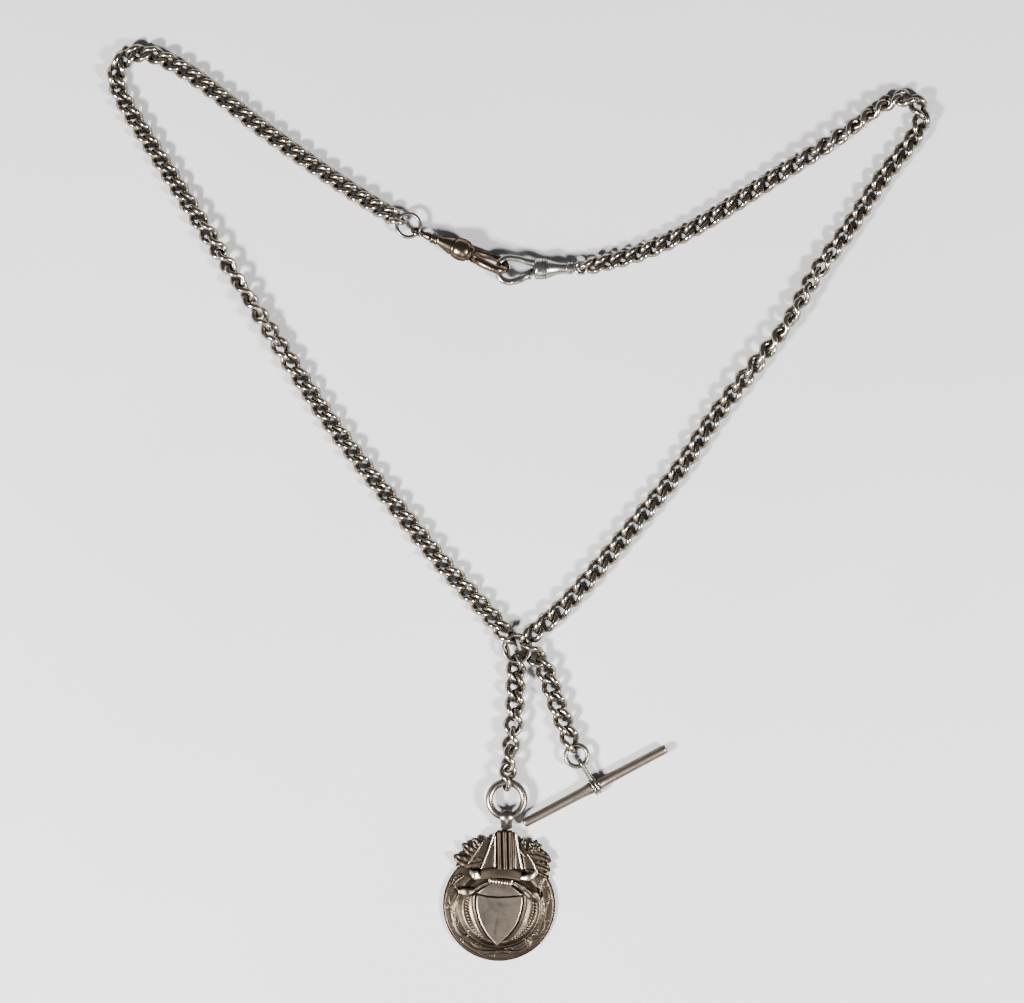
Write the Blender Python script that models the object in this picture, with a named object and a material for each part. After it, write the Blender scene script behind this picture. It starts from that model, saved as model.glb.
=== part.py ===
"""Double Albert pocket watch chain, laid out flat, built as separate named solids.

Units are metres and +Z is up. The chain lies on the plane Z = 0, with +Y running from the
fob medal to the two spring clips and +X towards the right arm. While it is modelled, the
junction ring's centre is the XY origin; the finished chain is then centred on the origin.
"""
import math

import bmesh
import bpy
from mathutils import Matrix, Vector

MM = 0.001
FLOOR_NORMAL = Vector((0.0, 0.0, 1.0))

# Curb links: a twisted oval of round wire, here with five-sided wire of the same area.
WIRE = 1.2 * MM
WIRE_SIDES = 5
LINK_WIDTH = 5.2 * MM
LINK_CORNERS = 8
LINK_TWIST = math.radians(-45.0)
HELD_TWIST = 0.75            # share of its end's twist that a link keeps where it is widest
SECTION_FLAT = 0.93          # distance from wire centre to its flats, against the radius
SOLDER_DEPTH = 0.13 * MM     # how far two soldered links in line sink into each other
BEND_DEPTH = 0.16 * MM       # how much further they sink for each radian of bend
PLAY = 0.15 * MM             # slack between two pieces that swing on each other
TAPER = 0.16                 # the links get this much shorter from junction to clip

# Rings: centreline radius and wire diameter of each.
JUNCTION_RADIUS, JUNCTION_WIRE, JUNCTION_HEIGHT = 3.05 * MM, 0.80 * MM, 2.30 * MM
FOB_RING_RADIUS, FOB_RING_WIRE, FOB_RING_HEIGHT = 4.15 * MM, 1.75 * MM, 2.60 * MM
BAR_RING_RADIUS, BAR_RING_WIRE, BAR_RING_HEIGHT = 2.60 * MM, 1.10 * MM, 2.30 * MM
CLIP_RING_RADIUS, CLIP_RING_WIRE, CLIP_RING_HEIGHT = 2.80 * MM, 0.85 * MM, 2.60 * MM
RING_SIDES = 18

# Where the four chains leave the junction ring, as angles round it from +X.
LEFT_EXIT, RIGHT_EXIT = math.radians(128.0), math.radians(52.0)
MEDAL_EXIT, BAR_EXIT = math.radians(266.0), math.radians(-4.0)

# Hand-laid routes, in millimetres from the junction ring's centre.
LEFT_ROUTE = ((-7.1, 8.6), (-17.8, 20.2), (-27.1, 31.7), (-36.4, 43.2), (-45.1, 54.7),
              (-56.6, 72.0), (-67.7, 89.3), (-78.8, 106.6), (-86.3, 118.4), (-93.6, 130.0),
              (-96.3, 135.7), (-96.2, 139.0), (-94.2, 141.7), (-90.6, 142.9), (-86.0, 141.9),
              (-80.1, 138.7), (-75.4, 135.6), (-60.1, 123.8), (-43.8, 112.3), (-35.0, 106.6))
RIGHT_ROUTE = ((9.8, 8.6), (20.3, 20.2), (29.9, 31.7), (39.2, 43.2), (46.8, 54.7),
               (55.7, 66.2), (64.7, 77.8), (71.3, 89.3), (79.7, 100.8), (87.2, 112.3),
               (93.7, 120.4), (96.5, 124.6), (97.3, 128.0), (95.7, 131.1), (92.3, 132.2),
               (87.4, 130.1), (78.1, 123.2), (61.0, 112.3), (42.7, 100.8), (29.3, 94.6))
MEDAL_ROUTE = ((-0.4, -9.6), (-0.6, -14.9), (-0.9, -19.0), (-1.5, -23.3), (-2.1, -28.1))
BAR_ROUTE = ((6.4, -3.9), (8.0, -8.4), (9.4, -13.0), (11.2, -17.6))
LEFT_STRETCHES = (7, 7, 7, 8, 6, 9, 7, 10)
RIGHT_STRETCHES = (7, 7, 7, 7, 6, 9, 7, 11)
LEFT_HALF_TURNS = ((24, 12),)
RIGHT_HALF_TURNS = ((22, 12), (41, 11))
MEDAL_ROLLS = (12, 4, 2, 20, 52, 85, 118)
BAR_ROLLS = (28, 15, 3, -7, -16, -24)
ARM_END_ROLLS = (24, 10)     # the first links of an arm; its last ones lean the other way

CLIP_RING_CENTRE = Vector((-26.0, 101.3, 0.0)) * MM
CLIP_RING_EXIT = math.radians(152.0)
FOB_RING_CENTRE = Vector((-2.5, -36.2, 0.0)) * MM
BAR_RING_CENTRE = Vector((14.3, -25.7, 0.0)) * MM
BAR_RING_EXIT = math.radians(115.0)

# Spring clips, measured along their own axis from the swivel eye's centre.
RIGHT_EYE = Vector((15.3, 91.1, 2.55)) * MM
RIGHT_AXIS = Vector((-1.0, -0.018, 0.0))
LEFT_EYE = Vector((-23.78, 99.74, 2.62)) * MM
LEFT_AXIS = Vector((0.9262, -0.377, 0.03))
LEFT_ROLL = math.radians(119.0)
EYE_RADIUS, EYE_WIRE = 1.32 * MM, 0.85 * MM
RIGHT_BARREL = ((3.45, 1.30), (4.2, 1.38), (6.2, 1.62), (8.1, 2.10))
LEFT_BARREL = ((3.3, 0.85), (3.6, 1.30), (4.2, 1.35), (4.6, 1.05), (6.6, 1.55), (9.0, 2.15))
RIGHT_COLLAR = ((8.15, 2.2), (8.3, 2.4), (9.0, 2.5), (10.3, 2.55), (11.0, 2.35), (11.5, 1.9))
LEFT_COLLAR = ((9.1, 2.2), (9.6, 2.75), (11.1, 2.95), (12.6, 2.6), (14.25, 2.0))
HOOK_ARM = ((-0.7, -1.25, 0.95), (1.4, -1.80, 0.88), (3.5, -2.50, 0.68), (6.2, -2.80, 0.72),
            (7.9, -1.75, 0.62), (8.45, 0.0, 0.56), (8.1, 1.85, 0.60), (6.9, 3.05, 0.62),
            (5.2, 3.10, 0.64))
GATE_PIVOT = (0.95, 1.55)
GATE_ARM = ((1.0, 1.55, 0.62), (2.4, 2.20, 0.70), (3.4, 2.65, 0.68), (4.95, 3.05, 0.62))
PIN_RADIUS = 0.28 * MM
PIN_CLEARANCE = 0.05 * MM

# Toggle bar.
BAR_CENTRE = Vector((18.7, -33.0, 1.75)) * MM
BAR_ANGLE = math.radians(27.8)
BAR_PROFILE = ((-19.3, 0.75), (-19.0, 1.04), (-17.2, 1.10), (-6.0, 1.15), (-1.4, 1.42),
               (-0.95, 1.42), (-0.9, 0.90), (0.9, 0.90), (0.95, 1.42), (1.4, 1.42),
               (6.0, 1.15), (17.2, 1.10), (19.0, 1.04), (19.3, 0.75))

# Fob medal: the disc lies on its back.
MEDAL_CENTRE = Vector((-4.3, -61.6, 0.0)) * MM
MEDAL_RADIUS = 13.45 * MM
RIM_WIDTH = 0.75 * MM
GAP = 0.05 * MM
BACK_THICKNESS = 0.9 * MM
RIM_HEIGHT = 1.45 * MM
DOME_RADIUS = 9.6 * MM
DOME_TOP = 2.0 * MM
SHIELD_THICKNESS = 0.5 * MM

SILVER = ((0.46, 0.41, 0.35, 1.0), 0.32)
DARK_SILVER = ((0.20, 0.17, 0.14, 1.0), 0.36)
BRIGHT_SILVER = ((0.58, 0.55, 0.50, 1.0), 0.26)
STEEL = ((0.35, 0.35, 0.36, 1.0), 0.40)


# ---------------------------------------------------------------- scene and objects

def clear_scene():
    for thing in list(bpy.data.objects):
        bpy.data.objects.remove(thing, do_unlink=True)


def metal(name, finish):
    colour, roughness = finish
    material = bpy.data.materials.new(name)
    material.use_nodes = True
    shader = material.node_tree.nodes["Principled BSDF"]
    shader.inputs["Base Color"].default_value = colour
    shader.inputs["Metallic"].default_value = 1.0
    shader.inputs["Roughness"].default_value = roughness
    return material


def new_mesh(shape):
    """Turn a bmesh into a mesh, with its faces pointing out."""
    bmesh.ops.recalc_face_normals(shape, faces=shape.faces)
    mesh = bpy.data.meshes.new("shape")
    shape.to_mesh(mesh)
    shape.free()
    return mesh


def add_part(name, mesh, origin, finish):
    """Make a named object of a mesh in world coordinates, with its origin on its joint."""
    mesh.transform(Matrix.Translation(-origin))
    mesh.shade_smooth()
    mesh.set_sharp_from_angle(angle=math.radians(50.0))
    mesh.materials.clear()
    mesh.materials.append(metal(name + "_metal", finish))
    mesh.name = name
    part = bpy.data.objects.new(name, mesh)
    part.location = origin
    bpy.context.scene.collection.objects.link(part)
    return part


def join_loose(meshes):
    """One mesh that holds several shapes which don't touch."""
    shape = bmesh.new()
    for mesh in meshes:
        shape.from_mesh(mesh)
    joined = bpy.data.meshes.new("joined")
    shape.to_mesh(joined)
    shape.free()
    return joined


def boolean(mesh, tool, operation):
    """The mesh left when a tool mesh is added to it or taken from it."""
    base = bpy.data.objects.new("base", mesh)
    other = bpy.data.objects.new("tool", tool)
    for thing in (base, other):
        bpy.context.scene.collection.objects.link(thing)
    change = base.modifiers.new("change", "BOOLEAN")
    change.operation = operation
    change.solver = "EXACT"
    change.object = other
    graph = bpy.context.evaluated_depsgraph_get()
    result = bpy.data.meshes.new_from_object(base.evaluated_get(graph))
    for thing in (base, other):
        bpy.data.objects.remove(thing, do_unlink=True)
    return result


def fuse(meshes):
    """One body of several meshes that sink into each other, first to last."""
    result = meshes[0]
    for mesh in meshes[1:]:
        result = boolean(result, mesh, "UNION")
    return result


# ---------------------------------------------------------------- general shapes

def axis_frame(origin, direction, roll=0.0):
    """A frame at origin with X along direction, turned about X by roll from level."""
    along = direction.normalized()
    side = FLOOR_NORMAL.cross(along).normalized()
    up = along.cross(side)
    frame = Matrix((along, side, up)).transposed().to_4x4()
    return Matrix.Translation(origin) @ frame @ Matrix.Rotation(roll, 4, "X")


def sweep(points, radii, inward, closed, sides=WIRE_SIDES, squash=1.0):
    """A wire along points. A flat of its section faces inward; squash widens it sideways."""
    shape = bmesh.new()
    rings = []
    count = len(points)
    for index, point in enumerate(points):
        after = points[(index + 1) % count] if closed or index + 1 < count else point
        before = points[index - 1] if closed or index else point
        tangent = (after - before).normalized()
        normal = inward[index] - tangent * inward[index].dot(tangent)
        normal.normalize()
        binormal = tangent.cross(normal)
        ring = []
        for corner in range(sides):
            angle = 2.0 * math.pi * (corner + 0.5) / sides
            offset = normal * math.cos(angle) + binormal * (math.sin(angle) * squash)
            ring.append(shape.verts.new(point + offset * radii[index]))
        rings.append(ring)
    for index in range(count if closed else count - 1):
        first, second = rings[index], rings[(index + 1) % count]
        for corner in range(sides):
            following = (corner + 1) % sides
            shape.faces.new((first[corner], first[following], second[following], second[corner]))
    if not closed:
        shape.faces.new(rings[0])
        shape.faces.new(rings[-1])
    return new_mesh(shape)


def turned(profile, sides=16, bore=None):
    """A solid turned about X from (x, radius) pairs; bore gives the same for a through hole."""
    shape = bmesh.new()
    outline = list(profile) + (list(reversed(bore)) if bore else [])
    rings = []
    for along, radius in outline:
        ring = []
        for corner in range(sides):
            angle = 2.0 * math.pi * corner / sides
            offset = (along, radius * math.cos(angle), radius * math.sin(angle))
            ring.append(shape.verts.new(offset))
        rings.append(ring)
    for index in range(len(rings) if bore else len(rings) - 1):
        first, second = rings[index], rings[(index + 1) % len(rings)]
        for corner in range(sides):
            following = (corner + 1) % sides
            shape.faces.new((first[corner], first[following], second[following], second[corner]))
    if not bore:
        shape.faces.new(rings[0])
        shape.faces.new(rings[-1])
    return new_mesh(shape)


def plate(outline, bottom, top):
    """A flat plate with the given outline, between two heights."""
    shape = bmesh.new()
    floor = [shape.verts.new((x, y, bottom)) for x, y in outline]
    base = shape.faces.new(floor)
    raised = bmesh.ops.extrude_face_region(shape, geom=[base])["geom"]
    corners = [item for item in raised if isinstance(item, bmesh.types.BMVert)]
    bmesh.ops.translate(shape, vec=(0.0, 0.0, top - bottom), verts=corners)
    return new_mesh(shape)


def placed(mesh, frame):
    mesh.transform(frame)
    return mesh


def scaled(pairs):
    return [tuple(value * MM for value in pair) for pair in pairs]


def smooth_curve(knots, steps):
    """Points of a smooth curve through the knots, spaced by the distance between them."""
    gaps = [(after - before).length for before, after in zip(knots, knots[1:])]
    slopes = []
    for index, knot in enumerate(knots):
        low, high = max(index - 1, 0), min(index + 1, len(knots) - 1)
        slopes.append((knots[high] - knots[low]) / sum(gaps[low:high]))
    curve = []
    for index, gap in enumerate(gaps):
        for step in range(steps):
            t = step / steps
            start_weight = (1.0 + 2.0 * t) * (1.0 - t) ** 2
            end_weight = t * t * (3.0 - 2.0 * t)
            point = knots[index] * start_weight + knots[index + 1] * end_weight
            point += slopes[index] * gap * t * (1.0 - t) ** 2
            point += slopes[index + 1] * gap * t * t * (t - 1.0)
            curve.append(point)
    curve.append(knots[-1])
    return curve


def circle_ring(radius, wire, sides=RING_SIDES, squash=1.0):
    """A closed round wire ring about Z."""
    points = []
    for corner in range(sides):
        angle = 2.0 * math.pi * corner / sides
        points.append(Vector((radius * math.cos(angle), radius * math.sin(angle), 0.0)))
    inward = [-point for point in points]
    return sweep(points, [wire * 0.54] * sides, inward, True, 6, squash)


# ---------------------------------------------------------------- chains of curb links

def link_mesh(near, far):
    """One curb link along X, its wire's end loops centred at near and far."""
    half = (far - near) / 2.0
    half_width = (LINK_WIDTH - WIRE) / 2.0
    corner_reach = math.cos(math.pi / LINK_CORNERS)
    points = []
    for corner in range(LINK_CORNERS):
        angle = 2.0 * math.pi * (corner + 0.5) / LINK_CORNERS
        along = half * math.cos(angle) / corner_reach
        across = half_width * math.sin(angle) / corner_reach
        at_end = abs(along) > half * 0.9
        twist = LINK_TWIST * math.copysign(1.0 if at_end else HELD_TWIST, along)
        points.append(Vector((along, across * math.cos(twist), across * math.sin(twist))))
    radius = WIRE / 2.0 * SECTION_FLAT / math.cos(math.pi / WIRE_SIDES)
    inward = [-point for point in points]
    mesh = sweep(points, [radius] * LINK_CORNERS, inward, True)
    return placed(mesh, Matrix.Translation(((near + far) / 2.0, 0.0, 0.0)))


def link_drop(roll):
    """How far a lying link reaches below its own axis when it is rolled."""
    mesh = link_mesh(-2.7 * MM, 2.7 * MM)
    mesh.transform(Matrix.Rotation(roll, 4, "X"))
    return -min(vertex.co.z for vertex in mesh.vertices)


def contact_reach(own_wire, other_wire, play):
    """From the point where two wires bear on each other to this wire's centre."""
    return (own_wire + other_wire) / 4.0 + play / 2.0


def walk(curve, weights, size):
    """Contact points along a curve at chord lengths size * weight, or None past its end."""
    contacts = [curve[0]]
    place = 0
    for weight in weights:
        reach = size * weight
        while place < len(curve) and (curve[place] - contacts[-1]).length < reach:
            place += 1
        if place == len(curve):
            return None
        before, after = curve[place - 1], curve[place]
        inner = (before - contacts[-1]).length
        outer = (after - contacts[-1]).length
        contacts.append(before.lerp(after, (reach - inner) / (outer - inner)))
    return contacts


def contacts_along(curve, count, taper):
    """Contact points of count links that end exactly at the curve's end."""
    weights = [1.0 - taper * index / count for index in range(count)]
    low, high = 1.0 * MM, 8.0 * MM
    for _ in range(40):
        size = (low + high) / 2.0
        if walk(curve, weights, size):
            low = size
        else:
            high = size
    contacts = walk(curve, weights, low)
    contacts[-1] = curve[-1]
    return contacts


def arm_rolls(count, half_turns):
    """Each arm link's roll: level, apart from where the chain turns half over."""
    rolls = [0.0] * count
    for middle, spread in half_turns:
        for index in range(count):
            part = min(max((index - middle) / spread + 0.5, 0.0), 1.0)
            rolls[index] += math.pi * part
    for index, lean in enumerate(ARM_END_ROLLS):
        rolls[index] += math.radians(lean)
        rolls[-1 - index] -= math.radians(lean)
    return rolls


def lift_contacts(contacts, rolls, start_height, end_height):
    """Give each contact the height that keeps both of its links on the floor."""
    drops = [link_drop(roll) for roll in rolls]
    contacts[0].z = start_height
    contacts[-1].z = end_height
    for index in range(1, len(contacts) - 1):
        contacts[index].z = max(drops[index - 1], drops[index])


def solid_link(contacts, index, rolls, near_reach, far_reach):
    """The mesh of one link between two contacts, in world coordinates."""
    start, end = contacts[index], contacts[index + 1]
    half = (end - start).length / 2.0
    mesh = link_mesh(-half - near_reach, half + far_reach)
    return placed(mesh, axis_frame((start + end) / 2.0, end - start, rolls[index]))


def bend_at(contacts, index):
    """The angle between the two links that meet at a contact."""
    before = contacts[index] - contacts[index - 1]
    return before.angle(contacts[index + 1] - contacts[index])


def chain_links(contacts, rolls, joints, start_reach, end_reach):
    """Every link of a chain; a contact listed in joints has play, the rest are soldered."""
    flat_wire_size = WIRE * SECTION_FLAT
    count = len(rolls)
    reaches = [start_reach]
    for index in range(1, count):
        play = PLAY
        if index not in joints:
            play = -SOLDER_DEPTH - BEND_DEPTH * bend_at(contacts, index)
        reaches.append(contact_reach(flat_wire_size, flat_wire_size, play))
    reaches.append(end_reach)
    return [solid_link(contacts, index, rolls, reaches[index], reaches[index + 1])
            for index in range(count)]


def ring_contact(centre, height, radius, wire, angle):
    """The point where a link pulls on a level ring, at an angle round it."""
    reach = radius - contact_reach(WIRE, wire, PLAY)
    return Vector((centre.x + reach * math.cos(angle), centre.y + reach * math.sin(angle), height))


def build_arm(side, route, stretches, half_turns, start, end, end_wire):
    """One long arm, as soldered stretches that swing on each other."""
    knots = [start] + [Vector((x, y, 0.0)) * MM for x, y in route] + [end]
    level = [Vector((knot.x, knot.y, 0.0)) for knot in knots]
    count = sum(stretches)
    contacts = contacts_along(smooth_curve(level, 40), count, TAPER)
    rolls = arm_rolls(count, half_turns)
    lift_contacts(contacts, rolls, start.z, end.z)
    ends = [sum(stretches[:number]) for number in range(len(stretches) + 1)]
    start_reach = contact_reach(WIRE, JUNCTION_WIRE, PLAY)
    end_reach = contact_reach(WIRE, end_wire, PLAY)
    links = chain_links(contacts, rolls, ends, start_reach, end_reach)
    for number, (first, last) in enumerate(zip(ends, ends[1:])):
        group = links[first:last]
        body = fuse([join_loose(group[0::2]), join_loose(group[1::2])])
        name = "{}_arm_stretch_{}".format(side, number + 1)
        add_part(name, body, contacts[first].copy(), SILVER)


def build_drop(name, route, roll_degrees, start, end, end_wire):
    """A short hanging chain whose links are all separate pieces."""
    knots = [start] + [Vector((x, y, 0.0)) * MM for x, y in route] + [end]
    level = [Vector((knot.x, knot.y, 0.0)) for knot in knots]
    count = len(roll_degrees)
    contacts = contacts_along(smooth_curve(level, 40), count, 0.0)
    rolls = [math.radians(angle) for angle in roll_degrees]
    lift_contacts(contacts, rolls, start.z, end.z)
    start_reach = contact_reach(WIRE, JUNCTION_WIRE, PLAY)
    end_reach = contact_reach(WIRE, end_wire, PLAY)
    links = chain_links(contacts, rolls, range(count + 1), start_reach, end_reach)
    for index, link in enumerate(links):
        add_part("{}_link_{}".format(name, index + 1), link, contacts[index].copy(), SILVER)


def add_ring(name, centre, height, radius, wire, origin, finish, squash=1.0):
    """A level ring whose origin is the contact that it swings on."""
    mesh = circle_ring(radius, wire, squash=squash)
    add_part(name, placed(mesh, Matrix.Translation((centre.x, centre.y, height))), origin, finish)


def build_chains():
    junction = Vector((0.0, 0.0, JUNCTION_HEIGHT))
    add_ring("junction_ring", junction, JUNCTION_HEIGHT, JUNCTION_RADIUS, JUNCTION_WIRE,
             junction, SILVER)
    starts = {}
    for side, angle in (("left", LEFT_EXIT), ("right", RIGHT_EXIT),
                        ("medal", MEDAL_EXIT), ("bar", BAR_EXIT)):
        starts[side] = ring_contact(junction, JUNCTION_HEIGHT, JUNCTION_RADIUS,
                                    JUNCTION_WIRE, angle)
    clip_ring_end = ring_contact(CLIP_RING_CENTRE, CLIP_RING_HEIGHT, CLIP_RING_RADIUS,
                                 CLIP_RING_WIRE, CLIP_RING_EXIT)
    build_arm("left", LEFT_ROUTE, LEFT_STRETCHES, LEFT_HALF_TURNS, starts["left"],
              clip_ring_end, CLIP_RING_WIRE)
    add_ring("clip_jump_ring", CLIP_RING_CENTRE, CLIP_RING_HEIGHT, CLIP_RING_RADIUS,
             CLIP_RING_WIRE, clip_ring_end, SILVER)
    eye_end = ring_contact(RIGHT_EYE, RIGHT_EYE.z, EYE_RADIUS, EYE_WIRE, math.radians(12.0))
    build_arm("right", RIGHT_ROUTE, RIGHT_STRETCHES, RIGHT_HALF_TURNS, starts["right"],
              eye_end, EYE_WIRE)
    fob_end = ring_contact(FOB_RING_CENTRE, FOB_RING_HEIGHT, FOB_RING_RADIUS,
                           FOB_RING_WIRE, math.radians(88.0))
    build_drop("medal_drop", MEDAL_ROUTE, MEDAL_ROLLS, starts["medal"], fob_end, FOB_RING_WIRE)
    add_ring("fob_ring", FOB_RING_CENTRE, FOB_RING_HEIGHT, FOB_RING_RADIUS, FOB_RING_WIRE,
             fob_end, SILVER)
    bar_end = ring_contact(BAR_RING_CENTRE, BAR_RING_HEIGHT, BAR_RING_RADIUS,
                           BAR_RING_WIRE, BAR_RING_EXIT)
    build_drop("bar_drop", BAR_ROUTE, BAR_ROLLS, starts["bar"], bar_end, BAR_RING_WIRE)
    add_ring("bar_jump_ring", BAR_RING_CENTRE, BAR_RING_HEIGHT, BAR_RING_RADIUS,
             BAR_RING_WIRE, bar_end, SILVER)


# ---------------------------------------------------------------- spring clips

def flat_wire(steps_points, sides=6):
    """A round wire in the XY plane from (x, y, radius) triples in millimetres."""
    knots = [Vector((x, y, 0.0)) * MM for x, y, _ in steps_points]
    radii = [radius * MM for _, _, radius in steps_points]
    curve = smooth_curve(knots, 2)
    widths = []
    for index in range(len(curve)):
        low = min(index // 2, len(radii) - 1)
        high = min(low + index % 2, len(radii) - 1)
        widths.append((radii[low] + radii[high]) / 2.0)
    return sweep(curve, widths, [FLOOR_NORMAL] * len(curve), False, sides)


def shifted(points, along):
    return [(point[0] + along,) + tuple(point[1:]) for point in points]


def upright_cylinder(radius, bottom, top, centre, sides=10):
    """A cylinder along Z at a point of the XY plane."""
    turn = Matrix.Rotation(-math.pi / 2.0, 4, "Y")
    mesh = placed(turned([(bottom, radius), (top, radius)], sides), turn)
    return placed(mesh, Matrix.Translation((centre[0], centre[1], 0.0)))


def swivel_eye(neck_end):
    """The eye ring with its neck and the riveted head that turns inside the barrel."""
    ring = circle_ring(EYE_RADIUS, EYE_WIRE, 16)
    neck = turned(scaled(((1.2, 0.62), (1.9, 0.75), (2.0, 1.05), (2.55, 1.05), (2.6, 0.5),
                          (neck_end, 0.5), (neck_end + 0.02, 0.8), (neck_end + 0.6, 0.8))), 12)
    return fuse([ring, neck])


def build_clip(side, eye, axis, roll, barrel, collar, hook_start, finish):
    """A spring clip: swivel eye, barrel, hook, gate, gate pin and gate spring."""
    frame = axis_frame(eye, axis, roll)
    neck_end = barrel[0][0] + 0.9
    barrel_end = barrel[-1][0]
    bore = [(barrel[0][0], 0.56), (neck_end - 0.05, 0.56), (neck_end, 0.88), (barrel_end, 1.0)]
    pivot = ((hook_start + GATE_PIVOT[0]) * MM, GATE_PIVOT[1] * MM)
    pivot_world = frame @ Vector((pivot[0], pivot[1], 0.0))
    clip_origin = frame @ Vector((barrel[0][0] * MM, 0.0, 0.0))

    body_eye = swivel_eye(neck_end)
    add_part(side + "_clip_swivel_eye", placed(body_eye, frame), eye.copy(), finish)

    tube = turned(scaled(barrel), 16, scaled(bore))
    add_part(side + "_clip_barrel", placed(tube, frame), clip_origin, finish)

    collar_body = turned(scaled(collar), 16)
    hook = fuse([collar_body, flat_wire(shifted(HOOK_ARM, hook_start))])
    lug_root = hook_start * MM - 0.4 * MM
    for low, high in ((-0.95, -0.45), (0.45, 0.95)):
        lug = upright_cylinder(0.8 * MM, low * MM, high * MM, pivot)
        web = plate(((lug_root, pivot[1] - 0.6 * MM), (pivot[0], pivot[1] - 0.6 * MM),
                     (pivot[0], pivot[1] + 0.6 * MM), (lug_root, pivot[1] + 0.6 * MM)),
                    low * MM + GAP, high * MM - GAP)
        hook = fuse([hook, fuse([lug, web])])
    hole = upright_cylinder(PIN_RADIUS + PIN_CLEARANCE, -3.0 * MM, 3.0 * MM, pivot)
    hook = boolean(hook, hole, "DIFFERENCE")
    add_part(side + "_clip_hook", placed(hook, frame), clip_origin, finish)

    root = upright_cylinder(0.72 * MM, -0.38 * MM, 0.38 * MM, pivot)
    gate = fuse([flat_wire(shifted(GATE_ARM[1:], hook_start)),
                 fuse([root, plate(((pivot[0], pivot[1] - 0.5 * MM),
                                    (pivot[0] + 1.6 * MM, pivot[1] + 0.2 * MM),
                                    (pivot[0] + 1.6 * MM, pivot[1] + 1.0 * MM),
                                    (pivot[0], pivot[1] + 0.6 * MM)),
                                   -0.36 * MM, 0.36 * MM)])])
    hole = upright_cylinder(PIN_RADIUS + PIN_CLEARANCE, -3.0 * MM, 3.0 * MM, pivot)
    gate = boolean(gate, hole, "DIFFERENCE")
    add_part(side + "_clip_gate", placed(gate, frame), pivot_world, finish)

    pin = turned(scaled(((-1.25, 0.5), (-1.0, 0.5), (-1.0, 0.28), (1.0, 0.28),
                         (1.0, 0.5), (1.25, 0.5))), 12)
    upright = Matrix.Translation((pivot[0], pivot[1], 0.0)) @ Matrix.Rotation(
        -math.pi / 2.0, 4, "Y")
    add_part(side + "_clip_gate_pin", placed(pin, frame @ upright), pivot_world, STEEL)

    spring_path = ((0.15, 0.1), (0.9, 0.25), (1.7, 0.45), (2.5, 0.75))
    spring = strip(shifted(spring_path, hook_start), 0.5, 0.16)
    add_part(side + "_clip_gate_spring", placed(spring, frame), pivot_world, STEEL)


def strip(path, width, thickness):
    """A flat strip on edge along a path in the XY plane, sizes in millimetres."""
    knots = [Vector((x, y, 0.0)) * MM for x, y in path]
    normals = []
    for index in range(len(knots)):
        low, high = max(index - 1, 0), min(index + 1, len(knots) - 1)
        tangent = (knots[high] - knots[low]).normalized()
        normals.append(FLOOR_NORMAL.cross(tangent))
    radius = thickness * MM / math.sqrt(2.0)
    return sweep(knots, [radius] * len(knots), normals, False, 4, width / thickness)


def build_clips():
    build_clip("right", RIGHT_EYE, RIGHT_AXIS, 0.0, RIGHT_BARREL, RIGHT_COLLAR, 11.5,
               BRIGHT_SILVER)
    build_clip("left", LEFT_EYE, LEFT_AXIS, LEFT_ROLL, LEFT_BARREL, LEFT_COLLAR, 14.25,
               DARK_SILVER)


# ---------------------------------------------------------------- toggle bar

def teardrop(back, near_radius, front, far_radius, corners=9):
    """Closed outline points round two discs on X, centred at back and at front."""
    lean = math.asin((far_radius - near_radius) / (front - back))
    outline = []
    for centre, radius, start, sweep_angle in (
            (front, far_radius, -math.pi / 2.0 - lean, math.pi + 2.0 * lean),
            (back, near_radius, math.pi / 2.0 + lean, math.pi - 2.0 * lean)):
        for corner in range(corners):
            angle = start + sweep_angle * corner / (corners - 1)
            outline.append((centre + radius * math.cos(angle), radius * math.sin(angle)))
    return outline


def build_toggle_bar():
    along = Vector((math.cos(BAR_ANGLE), math.sin(BAR_ANGLE), 0.0))
    bar = placed(turned(scaled(BAR_PROFILE), 16), axis_frame(BAR_CENTRE, along))
    add_part("toggle_bar", bar, BAR_CENTRE, SILVER)

    toward_bar = Vector((BAR_CENTRE.x, BAR_CENTRE.y, 0.0)) - BAR_RING_CENTRE
    toward_bar.normalize()
    ring_wire = BAR_RING_CENTRE + toward_bar * BAR_RING_RADIUS
    ring_wire.z = BAR_RING_HEIGHT
    inside = ring_wire - toward_bar * 1.15 * MM
    direction = BAR_CENTRE - inside
    distance = direction.length
    frame = axis_frame(inside, direction, math.pi / 2.0)
    near = 1.15 * MM
    outline = teardrop(near, 1.15 * MM, distance, 1.32 * MM)
    points = [Vector((x, y, 0.0)) for x, y in outline]
    middle = Vector((distance / 2.0, 0.0, 0.0))
    inward = [middle - point for point in points]
    loop = sweep(points, [0.38 * MM] * len(points), inward, True, 6, 1.9)
    add_part("toggle_bar_loop", placed(loop, frame), ring_wire, SILVER)


# ---------------------------------------------------------------- fob medal

def medal_point(x, y):
    """A point in millimetres from the medal's centre, in metres from the junction."""
    return (MEDAL_CENTRE.x + x * MM, MEDAL_CENTRE.y + y * MM)


def upright_turned(profile, sides=40, bore=None):
    turn = Matrix.Rotation(-math.pi / 2.0, 4, "Y")
    mesh = placed(turned(profile, sides, bore), turn)
    return placed(mesh, Matrix.Translation(MEDAL_CENTRE))


def shield_outline():
    """Shield with a dipped top edge and two curved sides that meet in a point."""
    outline = [(-5.6, 2.6), (-2.8, 2.1), (0.0, 1.9), (2.8, 2.1), (5.6, 2.6)]
    for step in range(1, 9):
        t = step / 8.0
        outline.append((5.6 * math.cos(t * math.pi / 2.0) ** 0.9, 2.6 - 11.9 * t ** 1.05))
    for step in range(7, 0, -1):
        t = step / 8.0
        outline.append((-5.6 * math.cos(t * math.pi / 2.0) ** 0.9, 2.6 - 11.9 * t ** 1.05))
    return outline


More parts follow.
